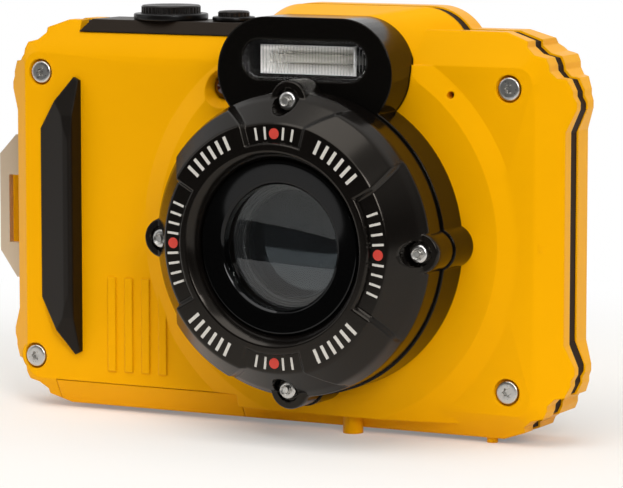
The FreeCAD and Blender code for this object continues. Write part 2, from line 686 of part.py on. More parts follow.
front_shell = cut(
    "front_shell", front_solid, lens_hole, panel_pocket, well_shutter, well_power, tripod_hole,
    door_space,
    shaped("housing_space", housing_block(s.seam_gap)),
    screw_holes("front_screw_holes", "shank_radius + slide_play", "face_y - 1",
                "band_front - face_y + 2"),
    screw_holes("front_head_pockets", "head_radius + 0.35", "face_y - 2", "2 + head_thick"),
    rod("lamp_hole", "lamp_radius + seam_gap", "Y", ("lamp_x", "face_y - 2", "lamp_z"), 6),
    cone("lamp_rim", "lamp_radius + 1.8", "lamp_radius + seam_gap", "Y",
         ("lamp_x", "face_y - plateau_rise - 0.3", "lamp_z"), 2.4),
    rod("mic_hole", "mic_radius", "Y", ("mic_x", "face_y - 2", "mic_z"), "wall + 2.1"))

# Seam band: dark elastomer frame clamped between the shells
band_walls = cut("band_walls", shaped("band_outside", band_form()), shaped("band_inside", band_hollow()))
band_solid = fuse("band_solid", band_walls, screw_holes("band_posts", "post_radius", "band_front",
                                                        "band_width"))
LUG_SPACE = box("lug_space", (lug_out - 1, left_wall + 3.4), ("lug_y - 0.02", "lug_y + lug_thick + 0.02"),
                ("lug_low - lug_slope - 1.3", "lug_high + lug_slope + 0.1"))
seam_band = cut("seam_band", band_solid, panel_pocket, well_shutter, well_power, tripod_hole, door_space,
                LUG_SPACE,
                screw_holes("band_screw_holes", "shank_radius + slide_play", "band_front - 1",
                            "band_width + 2"))

# Rear shell: yellow moulding with the screen window's ledge, key holes and hinge ears
rear_walls = cut("rear_walls", shaped("rear_outside", rear_form()), shaped("rear_inside", rear_hollow()))
lug_guard = box("lug_guard", (lug_out + 0.3, left_wall + 1), ("lug_y + 3.7", "back_y - 2.3"),
                ("slot_low - 1.5", "slot_high + 1.5"))
rear_nubs = fuse("rear_nubs",
                 *[rod("rear_nub_%d" % k, "nub_radius", "Z", (x, "nub_back", 0), "body_low + 1.6") for k,
                   x in enumerate(NUBS)])
rear_solid = fuse("rear_solid", rear_walls, screw_holes("rear_posts", "post_radius",
                                                        "band_front + band_width",
                                                        "back_y - wall - band_front - band_width"),
                  shelf("rear_shelf", "band_front + band_width", "back_y - wall"), lug_guard, rear_nubs)
KEYS = {
    "arrow_up": ("key_x", "key_z + key_pitch", "key_radius"),
    "arrow_down": ("key_x", "key_z - key_pitch", "key_radius"),
    "arrow_left": ("key_x + key_pitch", "key_z", "key_radius"),
    "arrow_right": ("key_x - key_pitch", "key_z", "key_radius"),
    "ok_button": ("key_x", "key_z", "ok_radius"),
    "play_button": ("key_x - row_half", "record_z", "key_radius"),
    "record_button": ("key_x + row_half", "record_z", "key_radius"),
    "menu_button": ("key_x", "menu_z", "key_radius"),
}
key_holes = fuse("key_holes",
                 *[rod(name + "_hole", radius + " + slide_play", "Y", (x, "back_y - wall - 1", z),
                       "wall + 2")
                                for name, (x, z, radius) in KEYS.items()])


def rocker_block(name, grow, start, end):
    """Zoom rocker outline: a bar with round ends."""
    bar = box(name + "_bar", ("key_x - rocker_half + rocker_radius",
                              "key_x + rocker_half - rocker_radius"),
              (start, end), ("rocker_z - rocker_radius - %s" % grow,
                             "rocker_z + rocker_radius + %s" % grow))
    ends = [rod("%s_end_%d" % (name, side), "rocker_radius + %s" % grow, "Y",
                ("key_x + %d * (rocker_half - rocker_radius)" % side, start, "rocker_z"),
                "(%s) - (%s)" % (end, start))
            for side in (-1, 1)]
    return fuse(name, bar, *ends)


rear_open = cut(
    "rear_open", rear_solid, panel_pocket, well_shutter, well_power, tripod_hole, door_space, key_holes,
    screw_holes("rear_screw_holes", "shank_radius + screw_play", "band_front",
                "face_y + screw_long + 1 - band_front"),
    rocker_block("rocker_hole", "rocker_play", "back_y - wall - 1", "back_y + 1"),
    box("screen_ledge", ("screen_x - screen_half_x - seam_gap", "screen_x + screen_half_x + seam_gap"),
        ("back_y - screen_thick - 0.05", "back_y + 1"),
        ("screen_z - screen_half_z - seam_gap", "screen_z + screen_half_z + seam_gap")),
    box("screen_opening", ("screen_x - screen_half_x + screen_lip",
                           "screen_x + screen_half_x - screen_lip"),
        ("back_y - wall - 1", "back_y"), ("screen_z - screen_half_z + screen_lip",
                                          "screen_z + screen_half_z - screen_lip")))


# Hinge ears and rocker brackets of the rear shell, added after the door's space is cut
ears = [fuse("ear_%d" % k, rod("ear_round_%d" % k, "knuckle_radius", "X", (x, "hinge_y", "hinge_z"),
                               "ear_width"),
             box("ear_web_%d" % k, (x, x + " + ear_width"), ("hinge_y", "back_y - 1.2"),
                 ("hinge_z - 0.9", "hinge_z + knuckle_radius")))
        for k, x in enumerate(("door_left", "door_right - ear_width"))]
brackets = [box("bracket_%d" % k, ("key_x - 1.8", "key_x + 1.8"),
                ("back_y - wall - 1.9", "back_y - wall + 0.3"),
                ("rocker_z + %s - 0.6" % step, "rocker_z + %s + 0.6" % step)) for k,
                step in enumerate(("3.75", "(0 - 3.75)"))]
rear_shell = cut(
    "rear_shell", fuse("rear_joined", rear_open, *ears, *brackets),
    rod("pin_bore", "pin_radius + 0.01", "X", ("door_left - 1", "hinge_y", "hinge_z"),
        "door_right - door_left + 0.4"),
    rod("trunnion_bore", "trunnion_radius + rail_play", "Z",
        ("key_x", "back_y - wall - 0.9", "rocker_z - 4.6"), 9.2),
    box("trunnion_slots", ("key_x - trunnion_radius + 0.1", "key_x + trunnion_radius - 0.1"),
        ("back_y - wall - 3", "back_y - wall - 0.9"), ("rocker_z - 4.6", "rocker_z + 4.6")))

# Top panel: dark bar let into the top, with a cup under each button and the switch board's posts
panel_bar = doc.addObject("Part::Wedge", "panel_bar")
PANEL_BAR = (("Xmin", "panel_left"), ("Xmax", "panel_right"), ("X2min", "panel_left + 2.2"),
             ("X2max", "panel_right"),
             ("Ymin", "panel_low"), ("Ymax", "panel_low + panel_thick"), ("Zmin", "0 - panel_back"),
             ("Zmax", "0 - panel_front"),
             ("Z2min", "panel_slope / 2 - panel_back"), ("Z2max", "0 - panel_front - panel_slope"))
for size, formula in PANEL_BAR:
    panel_bar.setExpression(size, bound(formula))
panel_bar.Placement = FreeCAD.Placement(Vector(), FreeCAD.Rotation(Vector(1, 0, 0), 90))


def cup(name, x, neck):
    return rod(name, neck + " + slide_play + cup_wall", "Z", (x, "button_y", "panel_low - cup_depth"),
               "cup_depth + 0.5")


def cup_space(name, x, neck):
    return rod(name, neck + " + slide_play", "Z", (x, "button_y", "panel_low - cup_depth + 1"),
               "cup_depth + 5")


top_panel = cut(
    "top_panel",
    fuse("panel_solid", panel_bar, cup("shutter_cup", "shutter_x", "shutter_neck"),
         cup("power_cup", "power_x", "power_neck"),
         rod("board_hanger_0", 0.8, "Z", ("shutter_x - 4.5", "button_y", "switch_floor"),
             "panel_low - cup_depth + 0.5 - switch_floor"),
         rod("board_hanger_1", 0.8, "Z", ("shutter_x + 4.5", "button_y", "switch_floor"),
             "panel_low - cup_depth + 0.5 - switch_floor"),
         rod("board_hanger_2", 0.7, "Z", ("power_x + 2.85", "button_y", "switch_floor"),
             "panel_low - cup_depth + 0.5 - switch_floor")),
    cup_space("shutter_space", "shutter_x", "shutter_neck"),
    cup_space("power_space", "power_x", "power_neck"),
    rod("shutter_stem_hole", "stem_radius + slide_play", "Z",
        ("shutter_x", "button_y", "panel_low - cup_depth - 1"), 3),
    rod("power_stem_hole", "stem_radius + slide_play", "Z",
        ("power_x", "button_y", "panel_low - cup_depth - 1"), 3))


def collar(name, x, outer, inner, thick):
    """Raised ring on the panel, with a rounded outer edge."""
    return turned(name, "Z", (x, "button_y", "panel_low + panel_thick"),
                  ((inner, "0"), (outer, "0"), (outer, thick + " - 0.4"), (outer + " - 0.4", thick),
                   (inner, thick)))


shutter_collar = collar("shutter_collar", "shutter_x", "shutter_collar", "shutter_cap + 0.15",
                        "collar_thick")
power_collar = collar("power_collar", "power_x", "power_collar", "power_cap + 0.15", "small_collar_thick")


def push_button(name, x, cap, top, skirt, neck):
    """Cap over the collar, neck in the cup and a stem with its clip under the cup's floor."""
    low = "panel_low - cup_depth"
    return turned(name, "Z", (x, "button_y", 0), (
        ("0", top + " - 0.35"), (cap + " - 1.3", top + " - 0.2"), (cap + " - 0.7", top),
        (cap + " - 0.3", top),
        (cap, top + " - 0.3"), (cap, top + " - " + skirt), (neck, top + " - " + skirt),
        (neck, "panel_low - 0.5"),
        ("stem_radius", "panel_low - 0.5"), ("stem_radius", low + " - 0.02"),
        ("stem_radius + 0.7", low + " - 0.02"),
        ("stem_radius + 0.7", low + " - 0.62"), ("0", low + " - 0.62")))


shutter_button = push_button("shutter_button", "shutter_x", "shutter_cap", "shutter_top", "1.6",
                             "shutter_neck")
power_button = push_button("power_button", "power_x", "power_cap", "power_top", "1.2", "power_neck")


def coil(name, x, radius, turns):
    """Round wire spring standing on the floor of a button cup, in arcs of a quarter turn."""
    low = s.panel_low - s.cup_depth + 1.0 + s.spring_wire
    rise = (s.panel_low - 0.5 - s.spring_wire - low) / turns / 4

    def point(quarter):
        angle = quarter * math.pi / 2
        return Vector(x + radius * math.cos(angle), s.button_y + radius * math.sin(angle),
                      low + rise * quarter)

    arcs = [Part.Arc(point(k), point(k + 0.5), point(k + 1)).toShape() for k in range(4 * turns)]
    ring = Part.Wire(Part.makeCircle(s.spring_wire, point(0),
                                     Vector(0, 1, rise / radius / (math.pi / 2))).Edges)
    return shaped(name, Part.Wire(arcs).makePipeShell([ring], True, False))


shutter_spring = coil("shutter_spring", s.shutter_x, s.shutter_neck - 1.2, 4)
power_spring = coil("power_spring", s.power_x, s.power_neck - 0.5, 4)
top_board = fuse(
    "top_board", box("top_board_plate", ("shutter_x - 9.6", "power_x + 4.2"),
                     ("button_y - 2.7", "button_y + 2.3"),
                     ("switch_floor - board_thin", "switch_floor")),
    box("shutter_switch", ("shutter_x - 1.6", "shutter_x + 1.6"), ("button_y - 1.6", "button_y + 1.6"),
        ("switch_floor - 0.1", "panel_low - cup_depth - 0.75 - shutter_travel")),
    box("power_switch", ("power_x - 1.6", "power_x + 1.6"), ("button_y - 1.6", "button_y + 1.6"),
        ("switch_floor - 0.1", "panel_low - cup_depth - 0.75 - power_travel")))

# Six-lobe recesses, shared by both kinds of screw
LOBES = [(math.cos(math.pi * k / 3), math.sin(math.pi * k / 3)) for k in range(6)]
AROUND = ((1, 0), (0, 1), (-1, 0), (0, -1))


def recess(name, x, y, z):
    lobes = [rod("%s_lobe_%d" % (name, k), "recess_lobe", "Y",
                 ("%s + %.6f * recess_radius" % (x, c), y, "%s + %.6f * recess_radius" % (z, d)),
                 "recess_depth + 0.5")
             for k, (c, d) in enumerate(LOBES)]
    return fuse(name, rod(name + "_middle", "recess_radius", "Y", (x, y, z), "recess_depth + 0.5"),
                *lobes)


def screw(name, x, z, head, thick, shank, front, length):
    """Pan-head screw lying along Y with its head to the front."""
    solid = turned(name + "_blank", "Y", (x, front, z), (
        ("0", "0"), (head + " - 0.25", "0"), (head, "0.25"), (head, thick), (shank, thick),
        (shank, length + " - 0.4"), (shank + " - 0.4", length), ("0", length)))
    return cut(name, solid, recess(name + "_recess", x, front + " - 0.5", z))


corner_screws = group("corner_screws",
                      *[screw("corner_screw_%d" % k, x, z, "head_radius", "head_thick", "shank_radius",
                                               "face_y", "screw_long") for k,
                                               (x, z) in enumerate(SCREWS)])
COVER_AT = [("lens_x + %d * lug_ring" % c, "lens_z + %d * lug_ring" % d) for c, d in AROUND]
cover_screws = group("cover_screws",
                     *[screw("cover_screw_%d" % k, x, z, "small_head", "small_thick", "small_shank",
                                             "small_front", "small_long") for k,
                                             (x, z) in enumerate(COVER_AT)])

# Lens base with the flash housing: one black moulding with a spigot in the front shell's hole
base_disc = rod("base_disc", "base_radius", "Y", ("lens_x", "base_front", "lens_z"),
                "face_y - plateau_rise - base_front - 0.02")
base_lugs = [rod("base_lug_%d" % k, "lug_radius", "Y", (x, "base_front", z),
                 "face_y - plateau_rise - base_front - 0.02")
             for k, (x, z) in enumerate(COVER_AT)]
base_holes = [rod("base_hole_%d" % k, "small_shank + screw_play", "Y", (x, "base_front - 1", z), 6.9)
              for k, (x, z) in enumerate(COVER_AT)]
spigot = rod("spigot", "barrel_radius + barrel_room + spigot_wall - 0.05", "Y",
             ("lens_x", "base_front", "lens_z"), "face_y + wall - base_front + 0.4")


def stadium(name, shrink, start, end):
    """Flash window outline: a bar with round ends, smaller by the shrink."""
    reach, radius = "(glow_half - glow_radius)", "glow_radius - %s" % shrink
    bar = box(name + "_bar", ("flash_x - " + reach, "flash_x + " + reach), (start, end),
              ("glow_z - glow_radius + %s" % shrink, "glow_z + glow_radius - %s" % shrink))
    ends = [rod("%s_end_%d" % (name, k), radius, "Y",
                ("flash_x + (%d) * %s" % (side, reach), start, "glow_z"),
                "(%s) - (%s)" % (end, start)) for k, side in enumerate((-1, 1))]
    return fuse(name, bar, *ends)


lens_base = cut(
    "lens_base", fuse("base_solid", base_disc, shaped("housing", housing_block(0.0)), *base_lugs, spigot),
    rod("base_through", "barrel_radius + barrel_room", "Y", ("lens_x", "base_front - 1", "lens_z"), 14),
    *base_holes, stadium("window_pocket", "(0 - 0.05)", "base_front - 1",
                         "base_front + glow_sink + glow_thick"),
    stadium("flash_pocket", "0.8", "base_front", "flash_back - 0.8"))
flash_window = stadium("flash_window", "0", "base_front + glow_sink",
                       "base_front + glow_sink + glow_thick")
trough_start, trough_end = s.base_front + s.glow_sink + s.glow_thick + 0.05, s.flash_back - 0.85


def trough_wire(y, half, rise):
    return rounded_wire(y, s.flash_x - half, s.flash_x + half, s.glow_z - rise, s.glow_z + rise,
                        rise - 0.01)


trough = loft(trough_wire(trough_start - 0.5, s.glow_half - 1.35, s.glow_radius - 1.35),
              trough_wire(trough_end - 2.6, s.glow_half - 1.6, s.glow_radius - 1.6),
              trough_wire(trough_end - 0.8, s.glow_half - 2.4, s.glow_radius - 2.3))
flash_reflector = cut("flash_reflector", stadium("reflector_block", "0.85", trough_start, trough_end),
                      shaped("trough", trough))
flash_tube = rod("flash_tube", 0.85, "X", ("flash_x - glow_half + 2.6", trough_end - 2.2, "glow_z"),
                 "2 * glow_half - 5.2")
tube_saddles = [box("tube_saddle_%d" % k, ("flash_x + (%s) - 0.6" % at, "flash_x + (%s) + 0.6" % at),
                    (trough_end - 1.36, trough_end - 0.7),
                    ("glow_z - 0.7", "glow_z + 0.7")) for k, at in enumerate(("6", "0 - 6"))]
flash_reflector = fuse("flash_reflector_with_saddles", flash_reflector, *tube_saddles)

# Lens cover: turned dome with four raised quarter pads, four screw lugs and their pockets
cover_low = turned("cover_low", "Y", ("lens_x", 0, "lens_z"), (
    ("ring_bore", "pad_rise - half_depth"), ("ring_edge", "pad_rise - half_depth"),
    ("cover_radius - 1.1", "cover_shoulder"), ("cover_radius", "cover_skirt"),
    ("cover_radius", "base_front - cover_gap"), ("cover_radius - 0.8", "base_front - cover_gap"),
    ("cover_radius - 0.8", "base_front - 0.02"), ("cover_radius - cover_wall", "base_front - 0.02"),
    ("cover_radius - cover_wall", "cover_inner"), ("trim_inner + 0.1", "cover_inner"),
    ("trim_inner + 0.1", "window_front + 2.5"),
    ("window_radius + 0.1", "window_front + 2.5"), ("window_radius + 0.1", "window_front"),
    ("trim_outer + 0.05", "window_front"), ("trim_outer + 0.05", "window_front - trim_thick")))
cover_pad_ring = turned("cover_pad_ring", "Y", ("lens_x", 0, "lens_z"), (
    ("ring_bore", "2 - half_depth"), ("ring_bore", "0.15 - half_depth"),
    ("ring_bore + 0.15", "0 - half_depth"),
    ("ring_edge + 0.4", "0 - half_depth"), ("cover_radius - 1.0", "cover_shoulder - 1.8"),
    ("cover_radius - 0.6", "cover_shoulder - 0.3"),
    ("cover_radius", "cover_skirt"), ("cover_radius - 2.5", "cover_skirt")))
PAD = ((s.ring_bore - 1, 30.0), (s.ring_edge + 0.4, 30.0), (s.cover_radius + 1.5, 37.0),
       (s.cover_radius + 1.5, 61.0),
       (s.ring_edge + 0.4, 74.5), (s.ring_bore - 1, 74.5))


def pad_plates():
    """Outlines of the four raised pads, mirrored into each quarter."""
    plates = []
    for side, rise in ((1, 1), (-1, 1), (-1, -1), (1, -1)):
        ring = [(s.lens_x + side * r * math.cos(math.radians(a)),
                 s.lens_z + rise * r * math.sin(math.radians(a))) for r, a in PAD]
        corners = [Vector(x, -s.half_depth - 1.0, z) for x, z in ring]
        plates.append(prism(Part.makePolygon(corners + corners[:1]), 9.0))
    return Part.makeCompound(plates)


cover_pads = doc.addObject("Part::Common", "cover_pads")
cover_pads.Base = cover_pad_ring
cover_pads.Tool = shaped("pad_plates", pad_plates())
cover_lip = turned("cover_lip", "Y", ("lens_x", 0, "lens_z"), (
    ("ring_bore", "1.5 - half_depth"), ("ring_bore", "0.15 - half_depth"),
    ("ring_bore + 0.15", "0 - half_depth"),
    ("ring_bore + 1.4", "0 - half_depth"), ("ring_bore + 1.8", "0.4 - half_depth"),
    ("ring_bore + 1.8", "1.5 - half_depth")))
cover_lugs = [rod("cover_lug_%d" % k, "lug_radius - 0.3", "Y", (x, "small_front + 0.5", z),
                  "base_front - 0.02 - small_front - 0.5")
              for k, (x, z) in enumerate(COVER_AT)]
lens_cover = cut(
    "lens_cover", fuse("cover_solid", cover_low, cover_pads, cover_lip, *cover_lugs),
    *[rod("cover_pocket_%d" % k, 2.3, "Y", (x, "0 - 20", z), "20 + small_front + small_thick") for k,
      (x, z) in enumerate(COVER_AT)],
    *[rod("cover_hole_%d" % k, "small_shank + slide_play", "Y", (x, "small_front", z), 9) for k,
      (x, z) in enumerate(COVER_AT)])
lens_window = rod("lens_window", "window_radius", "Y", ("lens_x", "window_front", "lens_z"),
                  "window_thick")
window_ring = turned("window_ring", "Y", ("lens_x", "window_front", "lens_z"), (
    ("trim_inner", "0"), ("trim_outer", "0"), ("trim_outer", "0.5 - trim_thick"),
    ("trim_outer - 0.7", "0 - trim_thick"),
    ("trim_outer - 2.0", "0.1 - trim_thick"), ("trim_inner + 0.4", "0 - 0.9"), ("trim_inner", "0 - 0.5")))
window_seal = doc.addObject("Part::Torus", "window_seal")
window_seal.setExpression("Radius1", bound("seal_radius - 0.2"))
window_seal.setExpression("Radius2", bound("seal_wire"))
window_seal.Placement = FreeCAD.Placement(Vector(), TURN["Y"])
place(window_seal, ("lens_x", "window_front + window_thick + seal_wire", "lens_z"))

# Focus lamp, microphone, speaker and flash capacitor
focus_lamp = turned("focus_lamp", "Y", ("lamp_x", 0, "lamp_z"), (
    ("0", "2.2"), ("1.2", "2.4"), ("2.0", "2.9"), ("lamp_radius", "3.4"),
    ("lamp_radius", "face_y + wall"),
    ("lamp_radius + 0.8", "face_y + wall"), ("lamp_radius + 0.8", "5.6"), ("0", "5.6")))
microphone = rod("microphone", 2.0, "Y", ("mic_x", "face_y + wall", "mic_z"), 2.0)
speaker = turned("speaker", "Y", ("speaker_x", "board_front - 2.6", "speaker_z"), (
    ("0", "0.3"), ("speaker_radius - 2.5", "0"), ("speaker_radius - 0.5", "0"), ("speaker_radius", "0.4"),
    ("speaker_radius", "2.6"), ("0", "2.6")))
flash_capacitor = rod("flash_capacitor", "capacitor_radius", "Z",
                      (RIGHT + " - capacitor_in", "board_front - capacitor_radius", "capacitor_low"),
                      "capacitor_long")

# Hand grip: a ridge with a steep inner edge and tapering ends
def grip_form():
    left, right, low, high = s.grip_left, s.grip_right, s.grip_low, s.grip_high
    face, top = s.face_y, s.face_y - s.grip_rise
    flat = ((right, low + 0.6), (right, high - 0.6), (right - 1.2, high), (left, high - 9.8),
            (left, low + 10.4), (right - 1.2, low))
    section = ((right, face), (right - 0.3, top + 0.5), (right - 0.9, top), (right - 2.2, top + 0.3),
               (left, face - 0.3), (left, face))
    side = ((face, low), (face - 0.7, low), (top + 0.5, low + 7.0), (top, low + 12.0), (top, high - 12.0),
            (top + 0.5, high - 7.0), (face - 0.7, high), (face, high))

    def bar(points, push):
        return Part.Face(Part.makePolygon(points + points[:1])).extrude(push)

    front = bar([Vector(x, top - 1, z) for x, z in flat], Vector(0, s.grip_rise + 1, 0))
    across = bar([Vector(x, y, low - 1) for x, y in section], Vector(0, 0, high - low + 2))
    along = bar([Vector(left - 1, y, z) for y, z in side], Vector(right - left + 2, 0, 0))
    return front.common(across).common(along)


hand_grip = shaped("hand_grip", grip_form())

# Strap lug: a metal loop clamped in the seam band by its inner flange
lug_plate = plate("lug_plate", (0, "lug_y", 0), "lug_thick", (
    (lug_out, "lug_low"), (lug_out, "lug_high"), ("%s + 3.6" % lug_out, "lug_high + lug_slope"),
    (left_wall + 2.6, "lug_high + lug_slope"),
    (left_wall + 2.6, "lug_low - lug_slope - 1.2"), ("%s + 3.6" % lug_out, "lug_low - lug_slope - 1.2")))
strap_lug = cut(
    "strap_lug",
    fuse("lug_solid", lug_plate, box("lug_flange", (left_wall + 1.82, left_wall + 2.7),
                                     ("lug_y - 0.6", "lug_y + lug_thick + 0.6"),
                                     ("lug_low - 4", "lug_high + 3"))),
    box("strap_slot", ("%s + slot_edge" % lug_out, "%s + slot_edge + slot_width" % lug_out),
        ("lug_y - 2", "lug_y + lug_thick + 2"),
        ("slot_low", "slot_high")))

# Battery door: the lower left of the casing, hinged at the back, with a sliding lock and a seal
casing_block = prism(casing_wire(s.face_y, 0.0), s.back_y - s.face_y).common(
    bevelled(s.face_y, s.back_y, s.bevel_depth, s.bevel_left, s.bevel_side, s.bevel_top, s.bevel_low))
door_form = shaped("door_form", door_block(0.0).common(casing_block))
battery_door = cut(
    "battery_door", door_form,
    rod("door_bore", "pin_radius + pin_play", "X", ("door_left - 1", "hinge_y", "hinge_z"),
        "door_right - door_left + 2"),
    box("ear_notch_0", ("door_left - 1", "door_left + ear_width + 0.15"),
        ("hinge_y - knuckle_radius - 0.15", "hinge_y + 3"), (0, 6)),
    box("ear_notch_1", ("door_right - ear_width - 0.15", "door_right + 1"),
        ("hinge_y - knuckle_radius - 0.15", "hinge_y + 3"), (0, 6)),
    box("lock_pocket", ("lock_x", "lock_x + lock_long + lock_travel + 0.2"),
        ("lock_y", "lock_y + lock_wide + 0.1"),
        ("body_low - 1", "body_low + lock_thick + 0.1")),
    box("lock_slot", ("lock_x + 2.8", "lock_x + 5.6 + lock_travel"), ("lock_y + 0.9", "lock_y + 3.2"),
        ("body_low", "body_low + 3")))
hinge_pin = rod("hinge_pin", "pin_radius", "X", ("door_left + 0.1", "hinge_y", "hinge_z"),
                "door_right - door_left - 0.8")
door_lock = fuse(
    "door_lock",
    box("lock_thumb", ("lock_x + 0.1", "lock_x + lock_long + 0.1"),
        ("lock_y + 0.05", "lock_y + lock_wide + 0.05"),
        ("body_low + 0.05", "body_low + 0.05 + lock_thick")),
    box("lock_stem", ("lock_x + 2.9", "lock_x + 5.5"), ("lock_y + 1.0", "lock_y + 3.1"),
        ("body_low + 0.5", "body_low + door_plate + 0.3")),
    box("lock_keeper", ("lock_x + 1.6", "lock_x + 7.0"), ("lock_y + 0.2", "lock_y + 3.8"),
        ("body_low + door_plate + 0.06", "body_low + door_plate + 0.8")))
door_seal = cut(
    "door_seal", box("seal_outer", ("door_left + seal_left", "door_right - 1.8"),
                     ("lock_y - 1.1", "battery_front + battery_thick"),
                     ("body_low + door_plate", "body_low + door_plate + door_seal")),
    box("seal_inner", ("door_left + seal_left + seal_width", "door_right - 1.8 - seal_width"),
        ("lock_y - 1.1 + seal_width", "battery_front + battery_thick - seal_width"), (0, "battery_low")))

# Battery, its holder, the memory card and the sockets behind the door
battery = box("battery", ("battery_left", "battery_left + battery_wide"),
              ("battery_front", "battery_front + battery_thick"),
              ("battery_low", "battery_low + battery_high"))
battery_holder = cut(
    "battery_holder",
    box("holder_block", ("battery_left - fit_gap - holder_wall",
                         "battery_left + battery_wide + fit_gap + holder_wall"),
        ("battery_front - fit_gap - holder_wall",
         "battery_front + battery_thick + fit_gap + holder_wall"),
        ("battery_low - 1.35", "battery_low + battery_high + holder_wall")),
    box("holder_space", ("battery_left - fit_gap", "battery_left + battery_wide + fit_gap"),
        ("battery_front - fit_gap", "battery_front + battery_thick + fit_gap"),
        (0, "battery_low + battery_high")))
card_socket = cut(
    "card_socket", box("card_case", ("card_x - 2", "card_x + card_wide + 2"),
                       ("face_y + wall + 0.2", "battery_front - fit_gap - holder_wall"),
                       ("card_low + 0.6", "card_low + card_high + 1.4")),
    box("card_space", ("card_x - 0.05", "card_x + card_wide + 0.05"),
        ("face_y + wall + 0.55", "face_y + wall + 0.65 + card_thick"),
        ("card_low - 1", "card_low + card_high + 0.05")))
memory_card = box("memory_card", ("card_x", "card_x + card_wide"),
                  ("face_y + wall + 0.6", "face_y + wall + 0.6 + card_thick"),
                  ("card_low", "card_low + card_high"))
USB = "(battery_left + battery_wide + fit_gap + holder_wall + 0.5)"
usb_socket = fuse(
    "usb_socket",
    cut("usb_can", box("usb_case", (USB, USB + " + usb_thick"), ("board_front - usb_wide", "board_front"),
                       ("usb_low", "usb_low + 5.6")),
        box("usb_space", (USB + " + 0.4", USB + " + usb_thick - 0.4"),
            ("board_front - usb_wide + 0.4", "board_front - 0.4"),
            ("usb_low - 1", "usb_low + 5"))),
    box("usb_tongue", (USB + " + usb_thick / 2 - 0.3", USB + " + usb_thick / 2 + 0.3"),
        ("board_front - usb_wide + 1.2", "board_front - 1.2"), ("usb_low + 1.2", "usb_low + 5.2")))

# Zoom lens: barrel, rods, two carriages on lead screws, their motors and the sensor board
lens_barrel = turned("lens_barrel", "Y", ("lens_x", 0, "lens_z"), (
    ("front_glass + 0.1", "barrel_front"), ("barrel_radius", "barrel_front"),
    ("barrel_radius", "barrel_back"),
    ("barrel_radius - barrel_wall", "barrel_back"), ("barrel_radius - barrel_wall", "barrel_front + 1.5"),
    ("front_glass - 0.5", "barrel_front + 1.5"), ("front_glass - 0.5", "barrel_front + 1.0"),
    ("front_glass + 0.1", "barrel_front + 1.0")))
front_element = turned("front_element", "Y", ("lens_x", 0, "lens_z"), (
    ("0", "0 - 10.1"), ("2.5", "0 - 10.07"), ("5.0", "0 - 9.94"), ("7.2", "0 - 9.76"),
    ("front_glass", "0 - 9.5"),
    ("front_glass", "barrel_front + 1.0"), ("0", "barrel_front + 1.0")))
back_wall = "barrel_back - 1.2"
sensor_board = fuse(
    "sensor_board", rod("sensor_disc", "barrel_radius - barrel_wall - 0.05", "Y",
                        ("lens_x", back_wall, "lens_z"), 1.2),
    box("sensor_plate", ("lens_x - barrel_radius", "lens_x + barrel_radius"),
        ("barrel_back", "barrel_back + board_thick"),
        ("lens_z - barrel_radius + 1", "lens_z + barrel_radius - 1")),
    box("sensor_chip", ("lens_x - 4", "lens_x + 4"), ("barrel_back - 1.7", "barrel_back"),
        ("lens_z - 3.2", "lens_z + 3.2")))
rod_start, rod_length = "barrel_front + 1.5", "barrel_back - barrel_front - 2.7"
guide_rods = group("guide_rods",
                   *[rod("guide_rod_%d" % k, "rail_radius", "Y",
                         ("lens_x + (%d) * %s" % (side, RAIL), rod_start, "lens_z"), rod_length)
                                   for k, side in enumerate((-1, 1))])
lens_motors = group("lens_motors",
                    rod("zoom_motor", "motor_radius", "Y",
                        ("lens_x", "barrel_back - 1.2 - motor_long", "lens_z + " + RAIL), "motor_long"),
                    rod("focus_motor", "motor_radius", "Y", ("lens_x", rod_start, "lens_z - " + RAIL),
                        "motor_long"))


def lead_screw(name, side, start, length):
    """Screw with a smooth journal at each end and a shallow thread between them."""
    turns = [("lead_radius", "0.8")]
    count = 10
    for k in range(count):
        share = "0.8 + %.4f * (%s - 1.6)" % ((k + 0.5) / count, length)
        turns += [("lead_radius - 0.12", share)]
        if k < count - 1:
            turns += [("lead_radius", "0.8 + %.4f * (%s - 1.6)" % ((k + 1.0) / count, length))]
    turns += [("lead_radius", "%s - 0.8" % length)]
    points = (("0", "0"), ("lead_radius - 0.3", "0"), ("lead_radius - 0.3", "0.8")) + tuple(turns)
    points += (("lead_radius - 0.3", "%s - 0.8" % length), ("lead_radius - 0.3", length), ("0", length))
    return turned(name, "Y", ("lens_x", start, "lens_z + (%d) * %s" % (side, RAIL)), points)


screw_length = "(barrel_back - barrel_front - 2.7 - motor_long - 0.1)"
zoom_screw = lead_screw("zoom_screw", 1, "barrel_front + 1.55", screw_length)
focus_screw = lead_screw("focus_screw", -1, "barrel_front + 1.55 + motor_long", screw_length)


